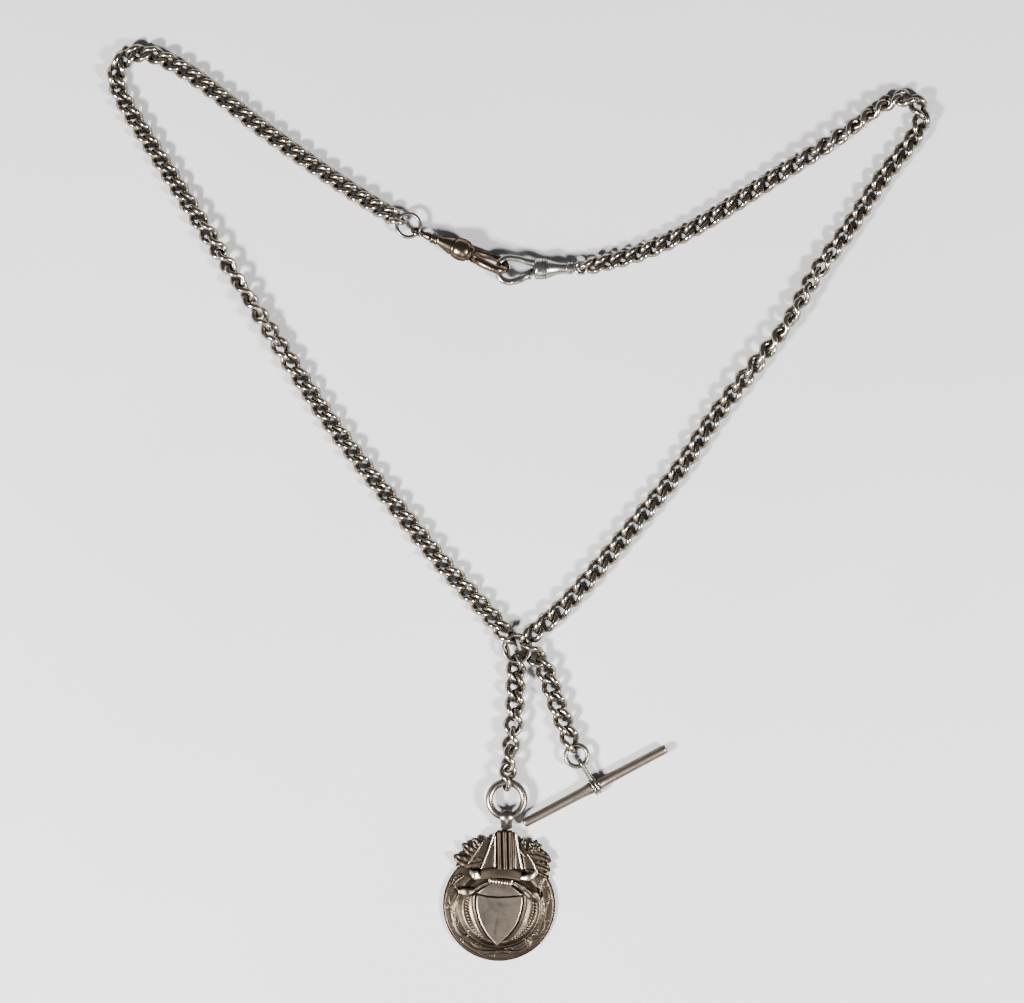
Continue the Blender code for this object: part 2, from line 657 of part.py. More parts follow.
def leaf_outline(side):
    """A scalloped leaf spray beside the fan, on the left (-1) or the right (+1)."""
    outline = []
    lobes = 5
    for step in range(26):
        angle = 2.0 * math.pi * step / 26
        wave = 1.0 + 0.13 * math.cos(lobes * angle)
        x = 4.3 * wave * math.cos(angle)
        y = 2.3 * wave * math.sin(angle)
        tilt = math.radians(38.0)
        outline.append((side * (9.3 - (x * math.cos(tilt) - y * math.sin(tilt)) * -1.0),
                        11.9 - (x * math.sin(tilt) + y * math.cos(tilt))))
    return outline


def fluted_fan():
    """A tapered fan of flutes that rises from the banner to the bail."""
    flutes = 9
    top_y, bottom_y = 17.9, 9.3
    shape = bmesh.new()
    rows = []
    for y, half_width, middle, height in ((top_y, 2.7, 1.5, 2.4), (bottom_y, 4.7, 0.6, 3.0)):
        crest = []
        for step in range(2 * flutes + 1):
            x = middle + half_width * (2.0 * step / (2 * flutes) - 1.0)
            z = height + (0.0 if step % 2 else -0.35)
            crest.append(shape.verts.new(medal_point(x, y) + (z * MM,)))
        low = [shape.verts.new(medal_point(middle + sign * half_width, y) + (1.6 * MM,))
               for sign in (1.0, -1.0)]
        rows.append((crest, low))
    (top, top_low), (bottom, bottom_low) = rows
    for step in range(2 * flutes):
        shape.faces.new((top[step], top[step + 1], bottom[step + 1], bottom[step]))
    shape.faces.new(top + top_low)
    shape.faces.new(bottom + bottom_low)
    shape.faces.new(top_low + bottom_low[::-1])
    shape.faces.new((top[0], bottom[0], bottom_low[1], top_low[1]))
    shape.faces.new((top[-1], bottom[-1], bottom_low[0], top_low[0]))
    return new_mesh(shape)


def banner_outline():
    """A ribbon banner: an arched band with a notched tail at each end."""
    upper = [(-8.0, 7.0), (-6.6, 8.6), (-4.2, 8.7), (-1.8, 9.05), (0.5, 9.15), (2.8, 9.0),
             (5.0, 8.5), (7.2, 7.9), (9.2, 8.9)]
    lower = [(9.6, 7.3), (8.0, 5.4), (6.4, 6.0), (4.6, 6.6), (2.4, 6.95), (0.4, 7.05),
             (-1.8, 6.95), (-4.0, 6.5), (-5.6, 5.7), (-7.0, 4.6)]
    return upper + lower


def bead_bar():
    """A short bar of round beads above the shield."""
    outline = []
    beads = 7
    for step in range(2 * beads + 1):
        x = -2.7 + 5.4 * step / (2 * beads)
        outline.append((x, 6.55 + (0.12 if step % 2 else 0.0)))
    for step in range(2 * beads, -1, -1):
        x = -2.7 + 5.4 * step / (2 * beads)
        outline.append((x, 5.45 - (0.12 if step % 2 else 0.0)))
    return outline


def bail_mesh(ring_wire):
    """A broad strap that goes round the fob ring's wire and down to the medal."""
    outline = teardrop(0.0, 0.55 * MM, 2.05 * MM, 1.50 * MM, 8)
    points = [Vector((x - 2.05 * MM, y, 0.0)) for x, y in outline]
    inward = [Vector((-0.5 * MM, 0.0, 0.0)) - point for point in points]
    strap = sweep(points, [0.32 * MM] * len(points), inward, True, 4, 6.0)
    up = Vector((0.0, 1.0, 0.0))
    return placed(strap, axis_frame(ring_wire, up, math.pi / 2.0))


def build_medal():
    ring_wire = FOB_RING_CENTRE + Vector((0.0, -FOB_RING_RADIUS, FOB_RING_HEIGHT))
    inner = MEDAL_RADIUS - RIM_WIDTH
    back = upright_turned([(0.0, inner - GAP - 0.3 * MM), (0.3 * MM, inner - GAP),
                           (BACK_THICKNESS, inner - GAP)])
    add_part("medal_back_plate", back, ring_wire, SILVER)
    rim = upright_turned([(0.2 * MM, MEDAL_RADIUS - 0.2 * MM), (0.4 * MM, MEDAL_RADIUS),
                          (1.1 * MM, MEDAL_RADIUS), (RIM_HEIGHT, MEDAL_RADIUS - 0.3 * MM)],
                         40, [(0.2 * MM, inner), (RIM_HEIGHT, inner)])
    add_part("medal_rim", rim, ring_wire, SILVER)
    dome = upright_turned([(BACK_THICKNESS + GAP, DOME_RADIUS), (1.3 * MM, DOME_RADIUS - 0.1 * MM),
                           (1.75 * MM, DOME_RADIUS - 1.0 * MM), (DOME_TOP, 6.6 * MM)], 32)
    add_part("medal_dome", dome, ring_wire, SILVER)
    level = DOME_TOP + GAP
    outline = [medal_point(x, y) for x, y in shield_outline()]
    add_part("medal_shield", plate(outline, level, level + SHIELD_THICKNESS), ring_wire, SILVER)
    outline = [medal_point(x, y) for x, y in banner_outline()]
    add_part("medal_ribbon_banner", plate(outline, level, level + 0.8 * MM), ring_wire, SILVER)
    outline = [medal_point(x, y) for x, y in bead_bar()]
    add_part("medal_bead_bar", plate(outline, level, level + 0.9 * MM), ring_wire, BRIGHT_SILVER)
    for name, side in (("left", -1.0), ("right", 1.0)):
        outline = [medal_point(x, y) for x, y in leaf_outline(side)]
        leaf = plate(outline, RIM_HEIGHT + GAP, RIM_HEIGHT + 0.9 * MM)
        add_part("medal_{}_leaf_spray".format(name), leaf, ring_wire, SILVER)
    add_part("medal_fluted_fan", fluted_fan(), ring_wire, SILVER)
    add_part("medal_bail", bail_mesh(ring_wire), ring_wire, SILVER)


# ---------------------------------------------------------------- whole chain

def centre_on_floor():
    """Move every part so that the chain stands on Z = 0, centred on the origin."""
    bpy.context.view_layer.update()
    parts = list(bpy.context.scene.collection.objects)
    corners = [part.matrix_world @ vertex.co for part in parts for vertex in part.data.vertices]
    low = Vector([min(corner[axis] for corner in corners) for axis in range(3)])
    high = Vector([max(corner[axis] for corner in corners) for axis in range(3)])
    shift = Vector((-(low.x + high.x) / 2.0, -(low.y + high.y) / 2.0, -low.z))
    for part in parts:
        part.location += shift


def build():
    clear_scene()
    build_chains()
    build_clips()
    build_toggle_bar()
    build_medal()
    centre_on_floor()


build()
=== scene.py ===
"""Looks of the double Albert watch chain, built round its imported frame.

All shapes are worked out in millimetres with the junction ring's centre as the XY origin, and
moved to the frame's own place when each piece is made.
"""

import math
from collections import namedtuple

import bmesh
import bpy
import numpy as np
from mathutils import Matrix, Vector


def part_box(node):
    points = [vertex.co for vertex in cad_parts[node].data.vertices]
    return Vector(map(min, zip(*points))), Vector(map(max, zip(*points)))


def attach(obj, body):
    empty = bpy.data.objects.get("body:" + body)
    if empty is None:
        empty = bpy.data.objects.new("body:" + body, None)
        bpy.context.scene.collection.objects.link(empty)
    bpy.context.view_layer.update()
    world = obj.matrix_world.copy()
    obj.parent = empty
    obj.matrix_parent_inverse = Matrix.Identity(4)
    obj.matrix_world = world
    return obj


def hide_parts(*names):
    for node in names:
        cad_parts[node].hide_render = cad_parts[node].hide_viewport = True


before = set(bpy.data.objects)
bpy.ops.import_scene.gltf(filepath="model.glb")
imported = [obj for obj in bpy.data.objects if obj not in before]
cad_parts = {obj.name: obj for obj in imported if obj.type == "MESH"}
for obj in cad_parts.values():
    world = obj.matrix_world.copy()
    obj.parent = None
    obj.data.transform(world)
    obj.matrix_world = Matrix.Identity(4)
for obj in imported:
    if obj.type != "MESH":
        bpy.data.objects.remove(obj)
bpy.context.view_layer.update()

MM = 0.001
UP = (0.0, 0.0, 1.0)
Ring = namedtuple("Ring", "centre height radius wire exit")
JUNCTION = Ring((0.0, 0.0), 2.30, 3.05, 0.80, 0.0)
ring_low, ring_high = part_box("junction_ring")
SHIFT = np.array((ring_low + ring_high) / 2.0 / MM) - np.array((0.0, 0.0, JUNCTION.height))

# Curb links.
WIRE = 1.36
LINK_WIDTH = 5.0
LINK_TWIST = math.radians(-45.0)
TWIST_HOLD = 2.7            # how soon a link reaches the twist of its ends
OVALNESS = 0.92             # 1 is an ellipse, and less is fuller at its corners
LINK_POINTS = 48
RING_POINTS, SEAM_POINT, SEAM_DEPTH = 96, 30, 0.93
PLAY = 0.08                 # gap between a link and a ring
TOGGLE_DROP_SLACK = 0.85    # the first toggle drop link reaches this far over the ring
TAPER = 0.16                # how much shorter the links get along an arm
WIDTH_TAPER = 0.12          # how much narrower they get
SINK = 0.02                 # how far neighbouring links press together

JUNCTION_TURNS = np.radians((100.0, 812.0))
COIL_RADIUS = 0.46          # of the wire that the junction ring is wound from
FREE_SIDE = 192.0           # where the ring's two turns stand apart, in degrees
LEFT_EXIT, RIGHT_EXIT, MEDAL_EXIT, BAR_EXIT = 128.0, 52.0, 266.0, -4.0

LEFT_ROUTE = (
    (-7.1, 8.6), (-17.8, 20.2), (-27.1, 31.7), (-36.4, 43.2), (-45.1, 54.7), (-56.6, 72.0),
    (-67.7, 89.3), (-78.8, 106.6), (-86.3, 118.4), (-93.6, 130.0), (-96.3, 135.7), (-96.2, 139.0),
    (-94.2, 141.7), (-90.6, 142.9), (-86.0, 141.9), (-80.1, 138.7), (-75.4, 135.6), (-60.1, 123.8),
    (-43.8, 112.3), (-35.0, 106.6))
RIGHT_ROUTE = (
    (9.8, 8.6), (20.3, 20.2), (29.9, 31.7), (39.2, 43.2), (46.8, 54.7), (55.7, 66.2), (64.7, 77.8),
    (71.3, 89.3), (79.7, 100.8), (87.2, 112.3), (93.7, 120.4), (96.5, 124.6), (97.3, 128.0),
    (95.7, 131.1), (92.3, 132.2), (87.4, 130.1), (78.1, 123.2), (61.0, 112.3), (42.7, 100.8),
    (29.3, 94.6))
MEDAL_ROUTE = ((-0.4, -9.6), (-0.6, -14.9), (-0.9, -19.0), (-1.5, -23.3), (-2.1, -28.1))
BAR_ROUTE = ((6.4, -3.9), (8.0, -8.4), (9.4, -13.0), (11.2, -17.6))
LEFT_STRETCHES = (7, 7, 7, 8, 6, 9, 7, 10)
RIGHT_STRETCHES = (7, 7, 7, 7, 6, 9, 7, 11)
LEFT_HALF_TURNS = ((24, 12),)
RIGHT_HALF_TURNS = ((22, 12), (41, 11))
MEDAL_ROLLS = (12, 4, 2, 20, 52, 85, 118)
BAR_ROLLS = (28, 15, 3, -7, -16, -24)
ARM_END_ROLLS = (24, 10)

CLIP_RING = Ring((-26.0, 101.3), 2.60, 2.80, 0.92, 152.0)
FOB_RING = Ring((-2.5, -36.2), 2.60, 4.15, 1.75, 88.0)
BAR_RING = Ring((14.3, -25.7), 2.30, 2.60, 1.10, 115.0)

RIGHT_EYE, RIGHT_AXIS = (15.3, 91.1, 2.55), (-1.0, -0.018, 0.0)
LEFT_EYE, LEFT_AXIS = (-23.78, 99.74, 2.62), (0.9262, -0.377, 0.03)
LEFT_ROLL = math.radians(119.0)
EYE_RING = Ring(RIGHT_EYE, RIGHT_EYE[2], 1.32, 0.85, 12.0)
HOOK_START = {"right": 11.5, "left": 14.25}
HOOK_ARM = {
    "right": ((-0.7, -1.35, 1.00), (1.4, -1.85, 0.90), (3.5, -2.50, 0.76), (6.2, -2.75, 0.76),
              (7.8, -1.80, 0.70), (8.45, 0.0, 0.68), (8.15, 1.5, 0.76), (7.3, 2.55, 0.84),
              (6.2, 3.00, 0.86), (5.2, 3.08, 0.84)),
    "left": ((-0.7, -1.25, 1.10), (1.4, -1.80, 1.02), (3.5, -2.40, 0.92), (6.2, -2.70, 0.90),
             (7.9, -1.75, 0.84), (8.5, 0.0, 0.82), (8.2, 1.60, 0.98), (7.1, 2.68, 1.02),
             (5.2, 2.82, 1.03)),
}
GATE_ARM = {
    "right": ((1.0, 1.45, 0.80), (2.4, 2.15, 0.90), (3.6, 2.68, 0.88), (4.95, 3.05, 0.84)),
    "left": ((1.0, 1.55, 0.95), (2.2, 2.10, 1.16), (3.5, 2.55, 1.12), (4.95, 2.80, 1.03)),
}
SPRING_ARM = ((0.1, 0.30, 0.16), (0.9, 0.62, 0.16), (1.7, 1.02, 0.15), (2.4, 1.42, 0.12))
GATE_PIVOT = (0.95, 1.55)
LUG_SPANS = ((-1.12, -0.52), (0.52, 1.12))
KNUCKLE = ((-0.46, 0.1), (-0.46, 0.86), (-0.36, 0.94), (0.36, 0.94), (0.46, 0.86), (0.46, 0.1))
RIVET = ((-1.34, 0.05), (-1.32, 0.30), (-1.22, 0.46), (-1.13, 0.46), (-1.13, 0.28), (1.13, 0.28),
         (1.13, 0.46), (1.22, 0.46), (1.32, 0.30), (1.34, 0.05))
RIGHT_NECK = (
    (1.05, 0.40), (1.4, 0.70), (1.75, 0.95), (1.85, 1.25), (1.95, 1.46), (2.35, 1.50), (2.45, 1.34),
    (2.55, 1.34), (2.65, 1.50), (3.1, 1.50), (3.25, 1.36), (3.28, 0.5), (4.6, 0.5))
LEFT_NECK = (
    (0.95, 0.42), (1.4, 0.66), (2.2, 0.88), (2.9, 1.04), (3.15, 1.04), (3.25, 0.86), (3.3, 0.5),
    (4.6, 0.5))
RIGHT_BARREL = (
    (3.32, 0.62), (3.32, 1.22), (3.6, 1.30), (4.4, 1.34), (5.4, 1.48), (6.4, 1.74), (7.3, 2.06),
    (7.9, 2.34), (8.02, 2.30), (8.05, 1.0))
LEFT_BARREL = (
    (3.35, 0.60), (3.36, 0.98), (3.5, 1.20), (3.8, 1.34), (4.1, 1.31), (4.28, 1.12), (4.42, 1.12),
    (4.65, 1.31), (5.0, 1.33), (5.2, 1.16), (5.35, 1.08), (5.6, 1.14), (7.2, 1.64), (8.7, 2.16),
    (9.0, 2.28), (9.05, 2.10), (9.08, 0.9))
RIGHT_COLLAR = (
    (8.1, 1.2), (8.1, 2.36), (8.2, 2.52), (8.42, 2.54), (8.52, 2.38), (8.62, 2.38), (8.72, 2.58),
    (8.98, 2.60), (9.08, 2.44), (9.18, 2.44), (9.28, 2.58), (9.8, 2.60), (10.4, 2.59), (10.8, 2.50),
    (11.05, 2.20), (11.2, 1.7), (11.25, 0.3))
LEFT_COLLAR = (
    (9.12, 1.0), (9.12, 2.02), (9.36, 2.06), (9.5, 2.32), (9.9, 2.50), (10.6, 2.66), (11.3, 2.69),
    (12.0, 2.65), (12.6, 2.48), (13.0, 2.30), (13.2, 2.0), (13.6, 1.95), (14.1, 1.80),
    (14.45, 1.45), (14.6, 0.8), (14.62, 0.2))

BAR_CENTRE, BAR_ANGLE = (18.7, -33.0, 1.75), math.radians(27.8)
BAR_HALF = (
    (0.0, 0.88), (0.5, 0.88), (0.76, 0.94), (0.88, 1.18), (0.96, 1.36), (1.12, 1.43), (1.4, 1.40),
    (2.4, 1.27), (4.0, 1.18), (8.0, 1.13), (14.0, 1.11), (18.2, 1.09), (18.85, 1.06), (19.1, 0.98),
    (19.25, 0.80), (19.3, 0.58), (19.3, 0.05))
LOOP_SETBACK = 1.28         # from the bar ring's wire back to the loop's own origin
STEM_RADIUS, STEM_END = 0.52, 2.25
COIL_REACH, COIL_RISE, COIL_WIRE, COIL_OFFSET, COIL_POINTS = 1.75, 1.31, 0.41, 0.43, 60
MEDAL_CENTRE, MEDAL_RADIUS = (-4.3, -61.6), 13.45
FOB_WIRE_POINT = (FOB_RING.centre[0], FOB_RING.centre[1] - FOB_RING.radius, FOB_RING.height)


# ---------------------------------------------------------------- materials

BUMP_STRENGTH, BUMP_DEPTH = 0.35, 0.00006
CLOUD_SCALE, SPECKLE_SCALE, SCRATCH_SCALE, DENT_SCALE = 160.0, 900.0, 700.0, 420.0
CLOUD_RANGE, SPECKLE_RANGE = (0.35, 0.65), (0.3, 0.7)
FLANK_RANGE = (0.16, 0.80)  # of the normal's upward share, from painted shade on the flanks to clear
EDGE_RANGE = (0.50, 0.56)   # of pointiness, from flat to worn clean
EDGE_TINT = 0.30            # how dark the metal turns where it is seen edge on


def node(tree, kind, **settings):
    made = tree.nodes.new(kind)
    for name, value in settings.items():
        setattr(made, name, value)
    return made


def noise(tree, coords, scale, detail):
    made = node(tree, "ShaderNodeTexNoise")
    made.inputs["Scale"].default_value = scale
    made.inputs["Detail"].default_value = detail
    made.inputs["Roughness"].default_value = 0.6
    tree.links.new(coords, made.inputs["Vector"])
    return made.outputs["Fac"]


def remap(tree, value, low, high, to_low=0.0, to_high=1.0):
    made = node(tree, "ShaderNodeMapRange")
    for name, number in (("From Min", low), ("From Max", high), ("To Min", to_low),
                         ("To Max", to_high)):
        made.inputs[name].default_value = number
    tree.links.new(value, made.inputs["Value"])
    return made.outputs["Result"]


def maths(tree, operation, first, second):
    made = node(tree, "ShaderNodeMath", operation=operation)
    for socket, value in zip(made.inputs, (first, second)):
        if isinstance(value, (int, float)):
            socket.default_value = value
        else:
            tree.links.new(value, socket)
    return made.outputs[0]


def mixed(tree, share, first, second):
    made = node(tree, "ShaderNodeMix", data_type="RGBA")
    tree.links.new(share, made.inputs["Factor"])
    for socket, value in ((made.inputs[6], first), (made.inputs[7], second)):
        if isinstance(value, tuple):
            socket.default_value = value + (1.0,)
        else:
            tree.links.new(value, socket)
    return made.outputs[2]


def worn_bump(tree, coords, scratches):
    """Fine scratches one way and shallow dents."""
    stretch = node(tree, "ShaderNodeMapping")
    stretch.inputs["Scale"].default_value = (1.0, 9.0, 9.0)
    stretch.inputs["Rotation"].default_value = (0.3, 0.2, 0.7)
    tree.links.new(coords, stretch.inputs["Vector"])
    scratch = noise(tree, stretch.outputs["Vector"], SCRATCH_SCALE, 3.0)
    dents = noise(tree, coords, DENT_SCALE, 2.0)
    bump = node(tree, "ShaderNodeBump")
    bump.inputs["Strength"].default_value = BUMP_STRENGTH * scratches
    bump.inputs["Distance"].default_value = BUMP_DEPTH
    tree.links.new(maths(tree, "ADD", scratch, dents), bump.inputs["Height"])
    return bump.outputs["Normal"]


def new_material(name):
    material = bpy.data.materials.new(name)
    material.use_nodes = True
    tree = material.node_tree
    return material, tree, tree.nodes["Principled BSDF"]


def aged_metal(name, clean, dull, patina_and_shade, roughness, tarnish=0.5, crevice=0.0018, scratches=1.0,
               flanks=0.85):
    """Old silver: clean on worn edges, dull between them, dark with patina and painted shade in
    crevices, near the table and on flanks.
    """
    material, tree, shader = new_material(name)
    edge_on = tuple(EDGE_TINT * part for part in clean)
    shader.inputs["Specular Tint"].default_value = edge_on + (1.0,)
    shader.inputs["Metallic"].default_value = 1.0
    source = node(tree, "ShaderNodeTexCoord")
    coords = source.outputs["Object"]
    parts = node(tree, "ShaderNodeSeparateXYZ")
    tree.links.new(source.outputs["Normal"], parts.inputs[0])
    # Painted shade: surfaces darken as their normal leans away from straight up, so sideways flanks
    # look shaded.
    level = maths(tree, "ABSOLUTE", parts.outputs["Z"], 0.0)
    flank = remap(tree, level, *FLANK_RANGE, 1.0 - flanks, 1.0)
    cloud = noise(tree, coords, CLOUD_SCALE, 5.0)
    speckle = noise(tree, coords, SPECKLE_SCALE, 3.0)
    # Ambient occlusion darkens crevices as patina, and also paints shade where parts lie close to
    # each other or to the table.
    occlusion = node(tree, "ShaderNodeAmbientOcclusion", samples=8)
    occlusion.inputs["Distance"].default_value = crevice
    open_share = maths(tree, "MULTIPLY", remap(tree, occlusion.outputs["AO"], 0.30, 1.0), flank)
    edges = remap(tree, node(tree, "ShaderNodeNewGeometry").outputs["Pointiness"], *EDGE_RANGE)
    dulled = maths(tree, "ADD", remap(tree, cloud, *CLOUD_RANGE, -0.35, 0.35),
                   maths(tree, "MULTIPLY", remap(tree, speckle, *SPECKLE_RANGE, -0.5, 0.5), 0.4))
    dulled = maths(tree, "ADD", dulled, tarnish)
    dulled = maths(tree, "SUBTRACT", dulled, maths(tree, "MULTIPLY", edges, 0.5))
    dulled = remap(tree, dulled, 0.0, 1.0)
    surface = mixed(tree, dulled, clean, dull)
    # Patina and painted shade: the darkest colour is mixed in where open_share is low.
    clear_of_patina_and_shade = maths(tree, "ADD", open_share, remap(tree, speckle, *SPECKLE_RANGE, -0.12, 0.12))
    colour = mixed(tree, remap(tree, clear_of_patina_and_shade, 0.0, 1.0), patina_and_shade, surface)
    tree.links.new(colour, shader.inputs["Base Color"])
    rough = remap(tree, dulled, 0.0, 1.0, roughness - 0.06, roughness + 0.10)
    rough = maths(tree, "ADD", rough, remap(tree, open_share, 0.0, 0.8, 0.42, 0.0))
    tree.links.new(rough, shader.inputs["Roughness"])
    tree.links.new(worn_bump(tree, coords, scratches), shader.inputs["Normal"])
    return material


# The third colour of each metal is its patina and painted shade, laid in crevices, near the table
# and on sideways flanks.
SILVER = aged_metal("aged_silver", (0.60, 0.53, 0.445), (0.25, 0.205, 0.16),
                    (0.040, 0.029, 0.021), 0.22, 0.45, 0.0030)
RING_SILVER = aged_metal("ring_silver", (0.40, 0.36, 0.31), (0.15, 0.13, 0.108),
                         (0.035, 0.028, 0.022), 0.28, 0.50, 0.0030)
DARK_SILVER = aged_metal("dark_silver", (0.32, 0.25, 0.19), (0.085, 0.06, 0.043),
                         (0.018, 0.012, 0.009), 0.22, 0.66, 0.0036)
BRIGHT_SILVER = aged_metal("bright_silver", (0.64, 0.61, 0.56), (0.34, 0.315, 0.28),
                           (0.06, 0.052, 0.045), 0.25, 0.38, 0.0030, flanks=0.7)
MEDAL_SILVER = aged_metal("medal_silver", (0.140, 0.111, 0.082), (0.044, 0.034, 0.026),
                          (0.014, 0.010, 0.007), 0.34, 0.62, 0.0010, 0.6)
SHIELD_SILVER = aged_metal("shield_silver", (0.30, 0.25, 0.205), (0.15, 0.12, 0.095),
                           (0.03, 0.022, 0.016), 0.34, 0.5, 0.0009, 0.5)
BEVEL_SILVER = aged_metal(
    "bevel_silver", (0.60, 0.52, 0.41), (0.28, 0.23, 0.175), (0.04, 0.03, 0.02), 0.32, 0.36, 0.0008)
FLUTE_SILVER = aged_metal("flute_silver", (0.060, 0.045, 0.035), (0.026, 0.019, 0.015),
                          (0.012, 0.008, 0.006), 0.38, 0.60, 0.0010, 0.6)
TOGGLE_SILVER = aged_metal("toggle_silver", (0.34, 0.28, 0.235), (0.14, 0.11, 0.09),
                           (0.025, 0.018, 0.014), 0.36, 0.55, 0.0030, 1.6)
STEEL = aged_metal(
    "pin_steel", (0.28, 0.26, 0.24), (0.10, 0.09, 0.08), (0.02, 0.018, 0.015), 0.32, 0.5)


# ---------------------------------------------------------------- meshes and pieces

def new_object(name, data):
    made = bpy.data.objects.new(name, data)
    bpy.context.scene.collection.objects.link(made)
    return made


def add_piece(name, shapes, body, material, replaces=(), smooth_angle=38.0):
    """One piece from (points, faces) shapes, in millimetres from the junction ring."""
    points, faces, start = [], [], 0
    for shape_points, shape_faces in shapes:
        points.append(np.asarray(shape_points, float).reshape(-1, 3))
        faces += [tuple(corner + start for corner in face) for face in shape_faces]
        start += len(points[-1])
    mesh = bpy.data.meshes.new(name)
    mesh.from_pydata(((np.concatenate(points) + SHIFT) * MM).tolist(), [], faces)
    shape = bmesh.new()
    shape.from_mesh(mesh)
    bmesh.ops.recalc_face_normals(shape, faces=shape.faces)
    shape.to_mesh(mesh)
    shape.free()
    mesh.shade_smooth()
    mesh.set_sharp_from_angle(angle=math.radians(smooth_angle))
    mesh.materials.append(material)
    piece = new_object(name, mesh)
    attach(piece, body)
    if replaces:
        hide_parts(*replaces)


def loft(rings, closed=False):
    """A surface through rings of points; each ring is closed, and so is the row if asked."""
    rings = np.asarray(rings, float)
    count, around = rings.shape[0], rings.shape[1]
    faces = []
    for row in range(count if closed else count - 1):
        after = (row + 1) % count
        for corner in range(around):
            following = (corner + 1) % around
            faces.append((row * around + corner, row * around + following,
                          after * around + following, after * around + corner))
    if not closed:
        faces.append(tuple(range(around)))
        faces.append(tuple((count - 1) * around + corner for corner in range(around)))
    return rings.reshape(-1, 3), faces


def full_turn(count):
    return 2.0 * math.pi * np.arange(count) / count


def unit(vectors):
    return vectors / np.maximum(np.linalg.norm(vectors, axis=-1, keepdims=True), 1e-12)


def wire(points, radii, toward, closed=False, sides=14, squash=1.0):
    """A round wire along points; toward gives the direction that its section starts at."""
    points = np.asarray(points, float)
    radii = np.broadcast_to(np.asarray(radii, float), (len(points),)).copy()
    toward = np.broadcast_to(np.asarray(toward, float), points.shape).copy()
    if closed:
        tangent = unit(np.roll(points, -1, 0) - np.roll(points, 1, 0))
    else:
        tangent = unit(np.gradient(points, axis=0))
        points, radii, toward, tangent = rounded_ends(points, radii, toward, tangent)
    normal = unit(toward - tangent * (toward * tangent).sum(1, keepdims=True))
    binormal = np.cross(tangent, normal)
    angles = full_turn(sides)
    ring = (normal[:, None, :] * np.cos(angles)[None, :, None]
            + binormal[:, None, :] * (np.sin(angles) * squash)[None, :, None])
    return loft(points[:, None, :] + ring * radii[:, None, None], closed)


def rounded_ends(points, radii, toward, tangent):
    """Add a few shrinking rings past each end, so that a wire ends in a soft dome."""
    turns = np.radians((25.0, 50.0, 72.0, 86.0))
    head = [points[0] - tangent[0] * radii[0] * 0.7 * math.sin(turn) for turn in turns[::-1]]
    tail = [points[-1] + tangent[-1] * radii[-1] * 0.7 * math.sin(turn) for turn in turns]
    points = np.vstack([head, points, tail])
    radii = np.concatenate([radii[0] * np.cos(turns[::-1]), radii, radii[-1] * np.cos(turns)])
    toward = np.vstack([[toward[0]] * 4, toward, [toward[-1]] * 4])
    tangent = np.vstack([[tangent[0]] * 4, tangent, [tangent[-1]] * 4])
    return points, radii, toward, tangent


def resampled(knots, count):
    """Points of a smooth curve through knots of any width, spaced evenly along it."""
    knots = np.asarray(knots, float)
    gaps = np.linalg.norm(np.diff(knots[:, :2], axis=0), axis=1)
    places = np.concatenate([[0.0], np.cumsum(gaps)])
    slopes = np.empty_like(knots)
    for index in range(len(knots)):
        low, high = max(index - 1, 0), min(index + 1, len(knots) - 1)
        slopes[index] = (knots[high] - knots[low]) / (places[high] - places[low])
    wanted = np.linspace(0.0, places[-1], count)
    spans = np.clip(np.searchsorted(places, wanted, side="right") - 1, 0, len(gaps) - 1)
    t = ((wanted - places[spans]) / gaps[spans])[:, None]
    gap = gaps[spans][:, None]
    return (knots[spans] * (1 + 2 * t) * (1 - t) ** 2 + knots[spans + 1] * t * t * (3 - 2 * t)
            + slopes[spans] * gap * t * (1 - t) ** 2 + slopes[spans + 1] * gap * t * t * (t - 1))


def turned(profile, sides=56, steps=3):
    """A solid turned about X from (x, radius) pairs, with its corners kept."""
    fine = []
    for before, after in zip(profile, profile[1:]):
        for step in range(steps):
            share = step / steps
            fine.append([b + (a - b) * share for b, a in zip(before, after)])
    fine.append(list(profile[-1]))
    angles = full_turn(sides)
    rings = [np.stack([np.full(sides, x), r * np.cos(angles), r * np.sin(angles)], 1)
             for x, r in fine]
    return loft(rings)


def placed(shape, matrix):
    points = np.asarray(shape[0]) @ np.array(matrix.to_3x3()).T + np.array(matrix.translation)
    return points, shape[1]


def axis_frame(origin, direction, roll=0.0):
    """A frame at origin with X along direction, turned about X by roll from level."""
    along = Vector(direction).normalized()
    side = Vector(UP).cross(along).normalized()
    basis = Matrix((along, side, along.cross(side))).transposed().to_4x4()
    return Matrix.Translation(Vector(origin)) @ basis @ Matrix.Rotation(roll, 4, "X")


def circle(centre, radius, height, count):
    angles = full_turn(count)
    return np.stack([centre[0] + radius * np.cos(angles), centre[1] + radius * np.sin(angles),
                     np.full(count, height)], 1)


# ---------------------------------------------------------------- chains of curb links

def smooth_curve(knots, steps):
    knots = [Vector(knot).to_3d() for knot in knots]
    gaps = [(after - before).length for before, after in zip(knots, knots[1:])]
    slopes = []
    for index in range(len(knots)):
        low, high = max(index - 1, 0), min(index + 1, len(knots) - 1)
        slopes.append((knots[high] - knots[low]) / sum(gaps[low:high]))
    curve = []
    for index, gap in enumerate(gaps):
        for step in range(steps):
            t = step / steps
            point = knots[index] * ((1.0 + 2.0 * t) * (1.0 - t) ** 2)
            point += knots[index + 1] * (t * t * (3.0 - 2.0 * t))
            point += slopes[index] * gap * t * (1.0 - t) ** 2
            point += slopes[index + 1] * gap * t * t * (t - 1.0)
            curve.append(point)
    curve.append(knots[-1])
    return curve


